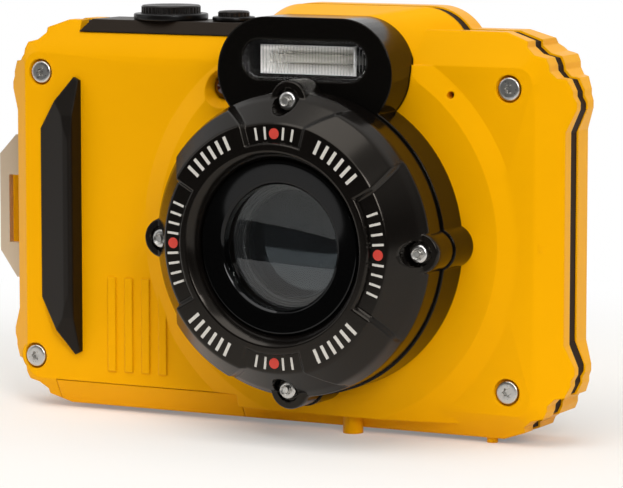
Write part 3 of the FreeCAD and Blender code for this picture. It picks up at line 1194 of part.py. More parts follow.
def carriage(name, y, screw_side):
    """Lens cell with ears on both guide rods and a nut on its lead screw."""
    at = ("lens_x", y, "lens_z")
    cell = turned(name + "_cell", "Y", at, (
        ("0", "0 - 0.5"), ("2.4", "0 - 0.42"), ("4.6", "0 - 0.15"), ("cell_radius", "0.3"),
        ("cell_radius", "0"), (DISC, "0"),
        (DISC, "carriage_thick"), ("cell_radius", "carriage_thick"),
        ("cell_radius", "carriage_thick - 0.3"),
        ("4.6", "carriage_thick - 0.1"), ("2.4", "carriage_thick"), ("0", "carriage_thick + 0.1")))
    arm = box(name + "_arm", ("lens_x - %s - 1.6" % RAIL, "lens_x + %s + 1.6" % RAIL),
              (y, y + " + carriage_thick"), ("lens_z - 1.5", "lens_z + 1.5"))
    arm_gap = rod(name + "_arm_gap", "cell_radius + 0.5", "Y", ("lens_x", y + " - 1", "lens_z"),
                  "carriage_thick + 2")
    low = "lens_z + cell_radius + 0.8" if screw_side > 0 else "lens_z - %s - 2" % RAIL
    high = "lens_z + %s + 2" % RAIL if screw_side > 0 else "lens_z - cell_radius - 0.8"
    nut = box(name + "_nut", ("lens_x - 2.1", "lens_x + 2.1"), (y, y + " + carriage_thick"), (low, high))
    bores = [rod("%s_bore_%d" % (name, k), "rail_radius + rail_play", "Y",
                 ("lens_x + (%d) * %s" % (side, RAIL), y + " - 1", "lens_z"), "carriage_thick + 2")
             for k, side in enumerate((-1, 1))]
    nut_bore = rod(name + "_nut_bore", "lead_radius + rail_play", "Y",
                   ("lens_x", y + " - 1", "lens_z + (%d) * %s" % (screw_side, RAIL)),
                   "carriage_thick + 2")
    return cut(name, fuse(name + "_solid", cell, cut(name + "_arms", arm, arm_gap), nut), *bores,
               nut_bore)


zoom_carriage = carriage("zoom_carriage", "zoom_y", 1)
focus_carriage = carriage("focus_carriage", "focus_y", -1)

# Boards, chassis plate, display and screen window
NOTCH_X = RIGHT + " - screw_right - post_radius - 0.9"
NOTCH_LOW = "body_low + screw_up + post_radius + 0.55"
NOTCH_HIGH = "body_high - screw_down - post_radius - 1.1"
BOARD_RIGHT = RIGHT + " - 2 * wall - 0.5"


def notched(name, left, left_high, front, thick):
    """Board outline that leaves room for the right-hand screw posts and the power button."""
    step = "panel_low - cup_depth - 6"
    return plate(name, (0, front, 0), thick, (
        (left, "board_low"), (NOTCH_X, "board_low"), (NOTCH_X, NOTCH_LOW), (BOARD_RIGHT, NOTCH_LOW),
        (BOARD_RIGHT, NOTCH_HIGH),
        (NOTCH_X, NOTCH_HIGH), (NOTCH_X, "panel_low - 3"), (left_high, "panel_low - 3"),
        (left_high, step), (left, step)))


main_plate = notched("main_plate", "board_left", "power_x + 4.7", "board_front", "board_thick")
CHIPS = (("lens_x + 4", "board_low + 1.5", 7.0, 5.5),
         ("lens_x + 6", "lens_z + barrel_radius + 1.5", 7.0, 5.5),
         ("power_x + 6.2", "panel_low - 10.5", 8.0, 6.0),
         ("board_left + 1", "lens_z + barrel_radius + 1", 3.5, 4.0),
         ("board_left + 1", "board_low + 3", 3.5, 5.0))
chips = [box("chip_%d" % k, (x, "%s + %.1f" % (x, wide)), ("board_front - 1", "board_front + 0.2"),
             (z, "%s + %.1f" % (z, high))) for k, (x, z, wide, high) in enumerate(CHIPS)]
main_board = fuse("main_board", main_plate, *chips)
chassis_plate = notched("chassis_plate", "screen_x - screen_half_x + 0.4", "power_x + 5.2",
                        "board_front + board_thick", "plate_thick")
lcd_module = box("lcd_module", ("screen_x - screen_half_x + 0.6", "screen_x + screen_half_x - 0.6"),
                 ("board_front + board_thick + plate_thick",
                  "board_front + board_thick + plate_thick + module_thick"),
                 ("screen_z - screen_half_z + 2", "screen_z + screen_half_z - 3"))
screen_window = box("screen_window", ("screen_x - screen_half_x", "screen_x + screen_half_x"),
                    ("back_y - screen_thick - 0.05", "back_y - 0.05"),
                    ("screen_z - screen_half_z", "screen_z + screen_half_z"))

# Keys on the back, the rubber mat behind them and the zoom rocker
key_back = "back_y - wall - 0.02 - key_flange_thick"


def key(name):
    x, z, radius = KEYS[name]
    return turned(name, "Y", (x, 0, z), (
        ("0", key_back), (radius + " + key_flange", key_back),
        (radius + " + key_flange", "back_y - wall - 0.02"),
        (radius, "back_y - wall - 0.02"), (radius, "half_depth - 0.35"),
        (radius + " - 0.35", "half_depth"), ("0", "half_depth")))


key_caps = {name: key(name) for name in KEYS}
mat_front = "battery_front + battery_thick + fit_gap + holder_wall"
keypad_membrane = fuse(
    "keypad_membrane", box("mat", ("key_x - row_half - 4.8", "key_x + row_half + 3.8"),
                           (mat_front, mat_front + " + membrane_thick"),
                           ("menu_z - 4.9", "record_z + 3.5")),
    *[cone(name + "_dome", radius, radius + " - 0.8", "Y", (x, mat_front + " + membrane_thick", z),
           "dome_rise + 0.15") for name, (x, z, radius) in KEYS.items()])
zoom_rocker = fuse(
    "zoom_rocker", rocker_block("rocker_body", "0", "back_y - wall - 0.6", "half_depth"),
    rod("rocker_trunnions", "trunnion_radius", "Z", ("key_x", "back_y - wall - 0.9", "rocker_z - 4.2"),
        8.4),
    box("rocker_root", ("key_x - 1.4", "key_x + 1.4"), ("back_y - wall - 0.9", "back_y - wall"),
        ("rocker_z - 2.4", "rocker_z + 2.4")))

# Tripod bush
tripod_insert = turned("tripod_insert", "Z", ("lens_x", "tripod_y", "body_low"), (
    ("0", "tripod_depth"), ("tripod_bore", "tripod_depth"), ("tripod_bore", "0"), ("tripod_radius", "0"),
    ("tripod_radius", "wall + 0.02"),
    ("tripod_radius + 0.65", "wall + 0.02"), ("tripod_radius + 0.65", "3"), ("tripod_radius", "3"),
    ("tripod_radius", "tripod_depth + 0.8"),
    ("0", "tripod_depth + 0.8")))

NODES = {
    "front_shell": front_shell, "rear_shell": rear_shell, "seam_band": seam_band, "top_panel": top_panel,
    "shutter_collar": shutter_collar, "power_collar": power_collar, "shutter_button": shutter_button,
    "power_button": power_button, "shutter_spring": shutter_spring, "power_spring": power_spring,
    "top_board": top_board, "lens_base": lens_base, "lens_cover": lens_cover, "lens_window": lens_window,
    "window_ring": window_ring, "window_seal": window_seal, "cover_screws": cover_screws,
    "corner_screws": corner_screws, "flash_window": flash_window, "flash_reflector": flash_reflector,
    "flash_tube": flash_tube, "focus_lamp": focus_lamp, "microphone": microphone, "hand_grip": hand_grip,
    "strap_lug": strap_lug, "battery_door": battery_door, "door_seal": door_seal, "hinge_pin": hinge_pin,
    "door_lock": door_lock, "battery": battery, "battery_holder": battery_holder,
    "card_socket": card_socket,
    "memory_card": memory_card, "usb_socket": usb_socket, "main_board": main_board,
    "chassis_plate": chassis_plate, "sensor_board": sensor_board, "lens_barrel": lens_barrel,
    "front_element": front_element, "zoom_carriage": zoom_carriage, "focus_carriage": focus_carriage,
    "zoom_screw": zoom_screw, "focus_screw": focus_screw, "lens_motors": lens_motors,
    "guide_rods": guide_rods,
    "flash_capacitor": flash_capacitor, "speaker": speaker, "lcd_module": lcd_module,
    "screen_window": screen_window, "keypad_membrane": keypad_membrane, "zoom_rocker": zoom_rocker,
    "tripod_insert": tripod_insert,
}
NODES.update(key_caps)
BAND_LENGTHS = 3

doc.recompute()
faults = [obj.Name for obj in doc.Objects if set(obj.State) & {"Invalid", "Error"}]
for name, obj in NODES.items():
    obj.Label = name
    count = len(obj.Links) if obj.isDerivedFrom("Part::Compound") else 1
    if obj is seam_band:
        count = BAND_LENGTHS
    if obj.Shape.isNull() or not obj.Shape.isValid() or len(obj.Shape.Solids) != count:
        faults.append("%s: %d solids" % (name, len(obj.Shape.Solids)))
os.makedirs("parts", exist_ok=True)
for name, obj in NODES.items():
    obj.Shape.exportStep("parts/%s.step" % name)
print(len(NODES), "pieces written")
if faults:
    raise RuntimeError("; ".join(faults))
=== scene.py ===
import math

import bmesh
import bpy
import numpy as np
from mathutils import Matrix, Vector


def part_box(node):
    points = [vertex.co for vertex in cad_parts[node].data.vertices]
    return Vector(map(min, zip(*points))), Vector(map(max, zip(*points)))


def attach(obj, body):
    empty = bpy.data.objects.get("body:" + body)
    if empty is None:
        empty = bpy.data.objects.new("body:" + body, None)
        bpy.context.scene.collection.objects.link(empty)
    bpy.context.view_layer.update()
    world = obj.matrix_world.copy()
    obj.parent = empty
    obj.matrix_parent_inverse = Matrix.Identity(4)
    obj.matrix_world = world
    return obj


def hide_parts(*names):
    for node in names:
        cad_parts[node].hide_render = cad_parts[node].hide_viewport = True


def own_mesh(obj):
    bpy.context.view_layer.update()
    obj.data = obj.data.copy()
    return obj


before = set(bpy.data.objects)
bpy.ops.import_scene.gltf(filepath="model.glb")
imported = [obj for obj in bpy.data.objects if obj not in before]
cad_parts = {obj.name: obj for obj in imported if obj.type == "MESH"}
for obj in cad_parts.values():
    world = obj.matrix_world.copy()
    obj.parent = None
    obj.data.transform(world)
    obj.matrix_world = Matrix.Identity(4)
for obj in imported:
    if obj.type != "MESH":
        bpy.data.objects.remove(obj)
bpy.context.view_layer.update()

# Studio: a white paper floor that sweeps up behind the camera, as product photographs are taken.
# The paper is matt; part of its white is its own for eyes and mirrors, so the shadow stays soft and pale.


def srgb(code):
    """Linear colour of an sRGB hex code: below 0.04045 divided by 12.92, else the 2.4 power curve."""
    steps = [int(code[k:k + 2], 16) / 255 for k in (1, 3, 5)]
    return (*[c / 12.92 if c <= 0.04045 else ((c + 0.055) / 1.055) ** 2.4 for c in steps], 1.0)


def add(tree, kind, inputs=(), **settings):
    """One shader node: its settings by name, then each input as a value or as a socket to link."""
    node = tree.nodes.new(kind)
    for name, value in settings.items():
        setattr(node, name, value)
    for key, value in dict(inputs).items():
        if isinstance(value, bpy.types.NodeSocket):
            tree.links.new(value, node.inputs[key])
        else:
            node.inputs[key].default_value = value
    return node


def finish(name, colour, roughness, **sockets):
    """A material with one Principled shader; the other sockets are given by name, _ for a space."""
    material = bpy.data.materials.new(name)
    material.use_nodes = True
    shader = material.node_tree.nodes["Principled BSDF"]
    shader.inputs["Base Color"].default_value = srgb(colour)
    shader.inputs["Roughness"].default_value = roughness
    for key, value in sockets.items():
        shader.inputs[key.replace("_", " ")].default_value = value
    return material, material.node_tree, shader


def placed(name, data):
    """An object of the scene that carries this mesh, lamp or camera."""
    thing = bpy.data.objects.new(name, data)
    bpy.context.scene.collection.objects.link(thing)
    return thing


# In metres: flat from the front edge to the bend, a quarter circle up, then a wall to its top edge
paper_half, paper_front, bend_start, bend_radius, paper_top = 2.0, -0.2, 0.7, 0.8, 2.6
sweep = np.linspace(0.0, math.pi / 2, 17)
bend = np.stack([bend_start + bend_radius * np.sin(sweep), bend_radius - bend_radius * np.cos(sweep)], 1)
paper_line = np.concatenate([[[paper_front, 0.0]], bend, [[bend_start + bend_radius, paper_top]]])
edges = np.broadcast_arrays([-paper_half, paper_half], paper_line[:, :1], paper_line[:, 1:])
paper_points = np.stack(edges, 2).reshape(-1, 3)
paper_faces = [(2 * k, 2 * k + 1, 2 * k + 3, 2 * k + 2) for k in range(len(paper_line) - 1)]
paper_mesh = bpy.data.meshes.new("studio_paper")
paper_mesh.from_pydata(paper_points, [], paper_faces)
paper_mesh.shade_smooth()
paper = placed("studio_paper", paper_mesh)

# Matt backdrop paper: no gloss; near the camera it takes the shadow and the yellow bounce, far off it
# is white: its own white grows from 0.22 at 0.08 m from the middle to all at 0.22 m
white_paper, tree, shader = finish("matt_backdrop_paper", "#F5F2ED", 0.9, Specular_IOR_Level=0.1)
seen = add(tree, "ShaderNodeLightPath").outputs
looked_at = add(tree, "ShaderNodeMath", {0: seen["Is Camera Ray"], 1: seen["Is Glossy Ray"]},
                operation="MAXIMUM")
looked_through = add(tree, "ShaderNodeMath", {0: looked_at.outputs[0], 1: seen["Is Transmission Ray"]},
                     operation="MAXIMUM")
away = add(tree, "ShaderNodeVectorMath", {0: add(tree, "ShaderNodeTexCoord").outputs["Object"]},
           operation="LENGTH")
fade = add(tree, "ShaderNodeMapRange", {"Value": away.outputs["Value"], "From Min": 0.08, "From Max": 0.22,
                                        "To Min": 0.22, "To Max": 1.0}, interpolation_type="SMOOTHSTEP")
share = add(tree, "ShaderNodeMath", {0: looked_through.outputs[0], 1: fade.outputs[0]}, operation="MULTIPLY")
glow = add(tree, "ShaderNodeEmission", {"Color": (1, 1, 1, 1), "Strength": 1.0})
mixed = add(tree, "ShaderNodeMixShader", {0: share.outputs[0], 1: shader.outputs[0], 2: glow.outputs[0]})
tree.links.new(mixed.outputs[0], tree.nodes["Material Output"].inputs["Surface"])
paper_mesh.materials.append(white_paper)

# Light: a room that is white behind and above the table and dark where the photographer stands,
# a large soft box above the front, one at the front right and a weaker one at the left
world = bpy.data.worlds.new("white_room")
world.use_nodes = True
bpy.context.scene.world = world
tree = world.node_tree
seen = add(tree, "ShaderNodeLightPath")
way = add(tree, "ShaderNodeSeparateXYZ", {0: add(tree, "ShaderNodeTexCoord").outputs["Generated"]})
behind = add(tree, "ShaderNodeMapRange", {"Value": way.outputs["Y"], "From Min": -0.3, "From Max": 0.5,
                                          "To Min": 0.06, "To Max": 0.6})
above = add(tree, "ShaderNodeMapRange", {"Value": way.outputs["Z"], "From Min": 0.25, "From Max": 0.9,
                                         "To Min": 0.0, "To Max": 0.5})
level = add(tree, "ShaderNodeMath", {0: behind.outputs[0], 1: above.outputs[0]}, operation="ADD")
shown = add(tree, "ShaderNodeMath", {0: level.outputs[0], 1: seen.outputs["Is Camera Ray"]},
            operation="MAXIMUM")
tree.links.new(shown.outputs[0], tree.nodes["Background"].inputs["Strength"])
tree.nodes["Background"].inputs["Color"].default_value = (1.0, 1.0, 1.0, 1.0)


def soft_box(name, place, target, width, height, power):
    """A rectangular lamp that faces its target."""
    lamp = bpy.data.lights.new(name, "AREA")
    lamp.shape = "RECTANGLE"
    lamp.size = width
    lamp.size_y = height
    lamp.energy = power
    box = placed(name, lamp)
    box.location = place
    box.rotation_euler = (Vector(target) - Vector(place)).to_track_quat("-Z", "Y").to_euler()


soft_box("soft_box_above", (0.0, -0.5, 1.15), (0.0, 0.0, 0.03), 1.1, 0.9, 7.4)
soft_box("soft_box_left", (-1.1, -0.62, 0.45), (0.0, 0.0, 0.04), 0.7, 0.9, 2.2)
soft_box("soft_box_right", (0.92, -1.02, 0.75), (0.0, 0.0, 0.04), 0.5, 0.7, 10.4)

# Camera: fitted to the photograph from the lens cover, the corner screws and the straight edges
lens = bpy.data.cameras.new("studio_camera")
lens.lens = 205.5
lens.sensor_width = 36.0
lens.sensor_fit = "HORIZONTAL"
eye = placed("studio_camera", lens)
eye.location = (0.30041, -0.56357, 0.10922)
eye.rotation_euler = (Vector((0.0098, 0.0025, 0.034055)) - eye.location).to_track_quat("-Z", "Y").to_euler()
bpy.context.scene.camera = eye
bpy.context.scene.view_settings.view_transform = "Standard"

# Casing: two yellow shells of moulded ABS with a fine spark-eroded grain, held by four screws.
# The battery door is cut from the same moulding, so all three share one finish.
mm = 0.001


def merged(node, name, smooth=7.0):
    """A merged copy of a solid: broad faces stay flat, turned ones smooth, as their angle tells."""
    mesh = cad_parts[node].data.copy()
    mesh.name = name
    mesh.materials.clear()
    shape = bmesh.new()
    shape.from_mesh(mesh)
    bmesh.ops.remove_doubles(shape, verts=shape.verts, dist=1e-6)
    shape.to_mesh(mesh)
    shape.free()
    mesh.shade_smooth()
    mesh.set_sharp_from_angle(angle=math.radians(smooth))
    piece = placed(name, mesh)
    weigh = piece.modifiers.new("broad_faces_first", "WEIGHTED_NORMAL")
    weigh.keep_sharp = True
    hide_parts(node)
    return piece


def wear(piece, material, body):
    """Gives a piece its finish and its body."""
    piece.data.materials.append(material)
    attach(piece, body)


def grained(name, colour, roughness, grain, depth, tint=0.06, edge=0.0, **sockets):
    """A moulded plastic: grain of that size in mm and depth in mm, with drifts of shade and gloss over
    about 22 mm, and where edge is given, sharp edges that shine as if rounded to that radius in mm."""
    material, tree, shader = finish(name, colour, roughness, **sockets)
    place = add(tree, "ShaderNodeTexCoord").outputs["Object"]
    fine = add(tree, "ShaderNodeTexNoise", {"Vector": place, "Scale": 1000 / grain, "Detail": 2.0})
    bump = add(tree, "ShaderNodeBump", {"Height": fine.outputs["Fac"], "Strength": 0.5,
                                        "Distance": depth * mm})
    drift = add(tree, "ShaderNodeTexNoise", {"Vector": place, "Scale": 45.0, "Detail": 3.0})
    shade = add(tree, "ShaderNodeMapRange", {"Value": drift.outputs["Fac"],
                                             "To Min": 1 - tint, "To Max": 1 + tint / 3})
    tinted = add(tree, "ShaderNodeMix", {0: 1.0, 6: srgb(colour), 7: shade.outputs[0]},
                 data_type="RGBA", blend_type="MULTIPLY")
    gloss = add(tree, "ShaderNodeMapRange", {"Value": drift.outputs["Fac"],
                                             "To Min": roughness * 0.85, "To Max": roughness * 1.2})
    if edge:
        rounded_edge = add(tree, "ShaderNodeBevel", {"Radius": edge * mm}, samples=6)
        tree.links.new(rounded_edge.outputs[0], bump.inputs["Normal"])
    tree.links.new(bump.outputs[0], shader.inputs["Normal"])
    tree.links.new(tinted.outputs[2], shader.inputs["Base Color"])
    tree.links.new(gloss.outputs[0], shader.inputs["Roughness"])
    return material


# Grain of 0.35 mm, coarser than the real 0.1 mm so that it still shows: a satin, slightly soft yellow
yellow_abs = grained("spark_eroded_yellow_abs", "#F5AC00", 0.38, 0.35, 0.012, edge=0.4,
                     Specular_IOR_Level=0.2, Specular_Tint=(1.0, 0.72, 0.16, 1.0))
wear(merged("front_shell", "front_casing"), yellow_abs, "casing")
wear(merged("rear_shell", "rear_casing"), yellow_abs, "casing")
wear(merged("battery_door", "battery_flap"), yellow_abs, "door")

# Seam band: a dark elastomer frame moulded round the joint of the two shells and clamped by the screws.
# Elastomer: dull dark brown with hardly any gloss
dark_elastomer = grained("moulded_dark_elastomer", "#2A190B", 0.6, 0.3, 0.01, edge=0.15,
                         Specular_IOR_Level=0.1)
wear(merged("seam_band", "seam_frame"), dark_elastomer, "casing")

# Top panel: a dark glass-filled bar clipped into the top; its two cups hold springs and buttons.
# Both buttons are turned caps, dished for the finger, each in a raised collar glued to the bar.
shutter_x, power_x, button_y = -23.4, -10.2, 10.3


def skin(name, points, closed=True, smooth=40.0):
    """A mesh over a grid of points; the columns close into a ring, the rows too when closed.
    Points that meet are merged, thin leftovers go, and the normals are turned outwards."""
    rows, columns = points.shape[:2]
    index = np.arange(rows * columns).reshape(rows, columns)
    right = np.roll(index, -1, 1)
    low, high = (index, np.roll(index, -1, 0)) if closed else (index[:-1], index[1:])
    low_right, high_right = (right, np.roll(right, -1, 0)) if closed else (right[:-1], right[1:])
    faces = np.stack([low, low_right, high_right, high], 2).reshape(-1, 4)
    mesh = bpy.data.meshes.new(name)
    mesh.from_pydata(points.reshape(-1, 3), [], faces.tolist())
    shape = bmesh.new()
    shape.from_mesh(mesh)
    bmesh.ops.remove_doubles(shape, verts=shape.verts, dist=2e-7)
    bmesh.ops.dissolve_degenerate(shape, edges=shape.edges, dist=1e-7)
    bmesh.ops.recalc_face_normals(shape, faces=shape.faces)
    shape.to_mesh(mesh)
    shape.free()
    mesh.shade_smooth()
    mesh.set_sharp_from_angle(angle=math.radians(smooth))
    return placed(name, mesh)


def lathe(name, outline, centre, axis, around=128, fillet=0.15, steps=5):
    """A turned body: points (radius, station) in mm, each corner rounded by a short parabola
    that leaves the outline one fillet before the corner, swept round an axis through centre."""
    line = np.array(outline, float)
    to_before, to_after = np.roll(line, 1, 0) - line, np.roll(line, -1, 0) - line
    long_before = np.linalg.norm(to_before, axis=1, keepdims=True)
    long_after = np.linalg.norm(to_after, axis=1, keepdims=True)
    reach = np.minimum(fillet, np.minimum(long_before, long_after) * 0.45)
    reach[line[:, 0] < 1e-6] = 0.0
    start = line + to_before / np.maximum(long_before, 1e-9) * reach
    end = line + to_after / np.maximum(long_after, 1e-9) * reach
    t = np.linspace(0, 1, steps)[None, :, None]
    curve = (1 - t) ** 2 * start[:, None] + 2 * t * (1 - t) * line[:, None] + t ** 2 * end[:, None]
    radius, station = curve.reshape(-1, 2).T[:, :, None]
    angle = np.linspace(0, 2 * math.pi, around, endpoint=False)
    across, beside = centre[0] + radius * np.cos(angle), centre[1] + radius * np.sin(angle)
    along = station + 0 * angle
    return skin(name, np.stack([across, along, beside] if axis == "Y" else [across, beside, along], 2) * mm)


# Glass-filled nylon, dark brown-black and satin
dark_nylon = grained("moulded_dark_nylon", "#1B130D", 0.42, 0.4, 0.01, edge=0.3, Specular_IOR_Level=0.25,
                     Specular_Tint=(1.0, 0.88, 0.74, 1.0))
wear(merged("top_panel", "top_bar"), dark_nylon, "casing")
# Turned nylon: black with a low even gloss and hardly any grain
collar_nylon = grained("turned_black_nylon", "#0B0908", 0.3, 0.5, 0.004, Specular_IOR_Level=0.25)
for node, x, outer, inner in (("shutter_collar", shutter_x, 6.9, 5.65),
                              ("power_collar", power_x, 3.95, 3.05)):
    low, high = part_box(node)
    foot, top = low.z / mm, high.z / mm
    ring = lathe(node + "_ring", ((inner, foot), (outer, foot), (outer, top), (inner, top)), (x, button_y),
                 "Z", 160, 0.35)
    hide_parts(node)
    wear(ring, collar_nylon, "casing")


def worked(name, colour, roughness, grit, stretch=(1.0, 1.0, 1.0), metal=1.0, **sockets):
    """A worked metal: scratches of that grit in mm, long along each axis whose stretch is small."""
    material, tree, shader = finish(name, colour, roughness, Metallic=metal, **sockets)
    place = add(tree, "ShaderNodeTexCoord").outputs["Object"]
    drawn = add(tree, "ShaderNodeVectorMath", {0: place, 1: stretch}, operation="MULTIPLY")
    scratch = add(tree, "ShaderNodeTexNoise", {"Vector": drawn.outputs[0], "Scale": 1000 / grit,
                                               "Detail": 4.0})
    gloss = add(tree, "ShaderNodeMapRange", {"Value": scratch.outputs["Fac"],
                                             "To Min": roughness * 0.7, "To Max": roughness * 1.5})
    relief = add(tree, "ShaderNodeBump", {"Height": scratch.outputs["Fac"], "Strength": 0.3,
                                          "Distance": 0.01 * grit * mm})
    tree.links.new(gloss.outputs[0], shader.inputs["Roughness"])
    tree.links.new(relief.outputs[0], shader.inputs["Normal"])
    return material


def read_points(piece):
    """The places of a piece's vertices in metres, one row each."""
    place = np.empty(len(piece.data.vertices) * 3)
    piece.data.vertices.foreach_get("co", place)
    return place.reshape(-1, 3)


# Turned and anodised aluminium, dark: a satin face that turns pale only where it mirrors the room
button_alloy = worked("turned_anodised_aluminium", "#2A2725", 0.34, 0.3, metal=0.75)
neck_foot, stem, stem_foot = 70.5, 1.2, 65.98
for node, x, cap, top, skirt, neck, body in (("shutter_button", shutter_x, 5.5, 76.0, 1.6, 4.4, "shutter"),
                                             ("power_button", power_x, 2.9, 75.2, 1.2, 2.3, "power")):
    low = top - skirt
    dish = [(0, top - 0.42), (cap * 0.4, top - 0.36), (cap * 0.7, top - 0.16), (cap - 0.55, top)]
    rim = [(cap - 0.25, top), (cap, top - 0.25), (cap, top - 0.3), (cap, top - 0.4),
           (cap, low + 0.2), (cap, low + 0.1), (cap, low)]
    shank = [(neck, low), (neck, neck_foot), (stem, neck_foot), (stem, stem_foot),
             (stem + 0.7, stem_foot), (stem + 0.7, stem_foot - 0.6), (0, stem_foot - 0.6)]
    teeth = 2 * round(cap * 3.5)
    button = lathe(node + "_cap", dish + rim + shank, (x, button_y), "Z", 16 * teeth, 0.08)
    # Knurl: between two levels the rim waves inwards by a cosine, one tooth each 0.9 mm
    place = read_points(button)
    off = place[:, :2] - np.array([x, button_y]) * mm
    out = np.linalg.norm(off, axis=1)
    on_rim = (out > (cap - 0.02) * mm) & (place[:, 2] < (top - 0.34) * mm) & (place[:, 2] > (low + 0.15) * mm)
    tooth = 0.5 + 0.5 * np.cos(teeth * np.arctan2(off[:, 1], off[:, 0]))
    shrink = 1 - on_rim * tooth * 0.18 * mm / np.maximum(out, 1e-6)
    place[:, :2] = off * shrink[:, None] + np.array([x, button_y]) * mm
    button.data.vertices.foreach_set("co", place.ravel())
    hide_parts(node)
    wear(button, button_alloy, body)

# Lens base: one black moulding of glass-filled polycarbonate, with the flash housing over it,
# screwed on the raised disc of the front shell; the lens cover closes it.
# Satin black polycarbonate: deep black, with a warm gleam from the yellow casing
black_polycarbonate = grained("satin_black_polycarbonate", "#080706", 0.17, 0.4, 0.003, edge=0.5,
                              Specular_IOR_Level=0.2, Specular_Tint=(1.0, 0.9, 0.78, 1.0))
wear(merged("lens_base", "lens_base_moulding"), black_polycarbonate, "casing")

# Flash: a bowl of metallised plastic with a xenon tube across it, clipped into the flash housing behind
# a clear moulded window, which is glued in and has upright flutes on its inner side.
flash_x, flash_z = 12.67, 67.7


def fluted_bar(name, half, radius, front, back, flutes, rows, across=24):
    """A bar with round ends: at each place along it a flat loop up the front and down the back,
    as high as the round end allows; the back wavers by a cosine, once for each flute."""
    turn = np.linspace(-1, 1, rows)
    x = half * np.sin(turn * math.pi / 2)
    end = np.clip(np.abs(x) - (half - radius), 0, None)
    tall = np.sqrt(np.clip(radius ** 2 - end ** 2, 0, None))
    v = np.sin(np.linspace(-math.pi / 2, math.pi / 2, across))
    ease = 0.18 * np.abs(v) ** 12
    wave = 0.1 * (0.5 + 0.5 * np.cos(x * math.pi * flutes / half))
    along, height = x[:, None] + 0 * v, tall[:, None] * v
    near = np.stack([along, front + ease + 0 * along, flash_z + height], 2)
    far = np.stack([along, back - wave[:, None] * (1 - v ** 8), flash_z - height], 2)
    points = np.concatenate([near, far], 1)
    points[:, :, 0] += flash_x
    return skin(name, points * mm, closed=False, smooth=50.0)


def lit_through(tree, shader):
    """Lets lamp light pass a clear piece, as it does in the real one, so what lies behind is lit."""
    seen = add(tree, "ShaderNodeLightPath")
    open_way = add(tree, "ShaderNodeBsdfTransparent")
    mixed = add(tree, "ShaderNodeMixShader", {0: seen.outputs["Is Shadow Ray"], 1: shader.outputs[0],
                                              2: open_way.outputs[0]})
    tree.links.new(mixed.outputs[0], tree.nodes["Material Output"].inputs["Surface"])


# Clear polycarbonate: almost no colour, sharp reflections
clear_window, tree, shader = finish("clear_polycarbonate", "#FFFFFF", 0.02, IOR=1.5, Transmission_Weight=1.0)
lit_through(tree, shader)
window = fluted_bar("flash_lens", 12.34, 3.57, -5.9, -4.1, 40, 480)
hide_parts("flash_window")
wear(window, clear_window, "casing")
# Metallised plastic: a pale, soft mirror, drawn out a little along the tube
mirror_coat = worked("metallised_reflector_plastic", "#FAF9F7", 0.45, 0.5, (0.1, 1.0, 1.0), 0.65)
bowl_left, bowl_right, bowl_half, mouth_y, bowl_deep = 3.5, 21.7, 2.3, -3.9, 5.6
across = np.concatenate([[3.2, 3.45, bowl_left], np.linspace(3.6, 21.6, 61), [bowl_right, 21.75, 22.0]])
tall = np.concatenate([[-2.55, -2.35, -bowl_half], np.linspace(-2.2, 2.2, 31), [bowl_half, 2.35, 2.55]])
# The bowl is a parabola across, with steep ends: its depth is one less the square of the height share,
# times the root of the distance to the nearer end over 1.4 mm, at most 1
from_end = np.minimum(across - bowl_left, bowl_right - across)[:, None]
bowl = np.clip(1 - (tall / bowl_half) ** 2, 0, 1) * np.clip(from_end / 1.4, 0, 1) ** 0.5
bowl_face = np.stack([across[:, None] + 0 * tall, mouth_y + bowl_deep * bowl, flash_z + tall + 0 * bowl], 2)
bowl_back = bowl_face[:, ::-1] + np.array([0, 0.35, 0])
bowl_points = np.concatenate([bowl_face, bowl_back], 1) * mm
reflector = skin("reflector_bowl", bowl_points, closed=False, smooth=35.0)
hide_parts("flash_reflector")
wear(reflector, mirror_coat, "casing")


def dress(node, material):
    """Gives a piece that keeps its solid the finish of what it is made of."""
    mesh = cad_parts[node].data
    mesh.materials.clear()
    mesh.materials.append(material)


# Quartz glass with a milky breath of deposit inside, which softens its highlight
xenon_glass, tree, shader = finish("quartz_flash_tube", "#F4F1E8", 0.05, Transmission_Weight=0.6, IOR=1.46)
place = add(tree, "ShaderNodeTexCoord").outputs["Object"]
deposit = add(tree, "ShaderNodeTexNoise", {"Vector": place, "Scale": 600.0, "Detail": 3.0})
haze = add(tree, "ShaderNodeMapRange", {"Value": deposit.outputs["Fac"], "To Min": 0.03, "To Max": 0.25})
tree.links.new(haze.outputs[0], shader.inputs["Roughness"])
dress("flash_tube", xenon_glass)

# Lens cover: a turned black dome with four raised quarter pads, sunk fields between them and a lug
# for each of its four screws, each in a round pocket cut into the slope.
lens_x, lens_z = 12.97, 35.5
compass = np.radians([0, 90, 180, 270])
# Radii in mm about the lens: the mouth, the rim and the screws; then that of a lug about its screw
mouth, rim_edge, screw_circle, lug = 17.0, 27.0, 25.55, 3.6

# Outlines as (radius, height) in mm, about the lens and, for lug and pocket, about a screw
field_line = ((17, 18), (21.9, 18), (25.9, 13.2), (27, 11.5))
pad_line = ((17, 18.8), (17.25, 18.95), (22.3, 18.95), (26.0, 15.0), (26.5, 13.3), (27, 11.5))
lip_line = ((17, 18.8), (17.2, 18.95), (18.3, 18.95), (18.75, 18.6), (18.8, 10))
lug_line = ((0, 12.73), (3.4, 12.73), (3.7, 11.9), (3.75, 0))
pocket_line = ((0, 12.13), (2.2, 12.13), (2.3, 17), (2.45, 18.6), (2.7, 30))


def rounded_line(radius, line, soft):
    """Height over the radius from a polyline, its corners rounded by averaging nearby samples."""
    at, height = np.array(line, float).T
    return sum(np.interp(radius + shift, at, height) for shift in np.linspace(-soft, soft, 9)) / 9


def step(distance, width):
    """A smooth rise from 0 to 1 over a width, three times its square less twice its cube."""
    t = np.clip(distance / width, 0, 1)
    return t * t * (3 - 2 * t)


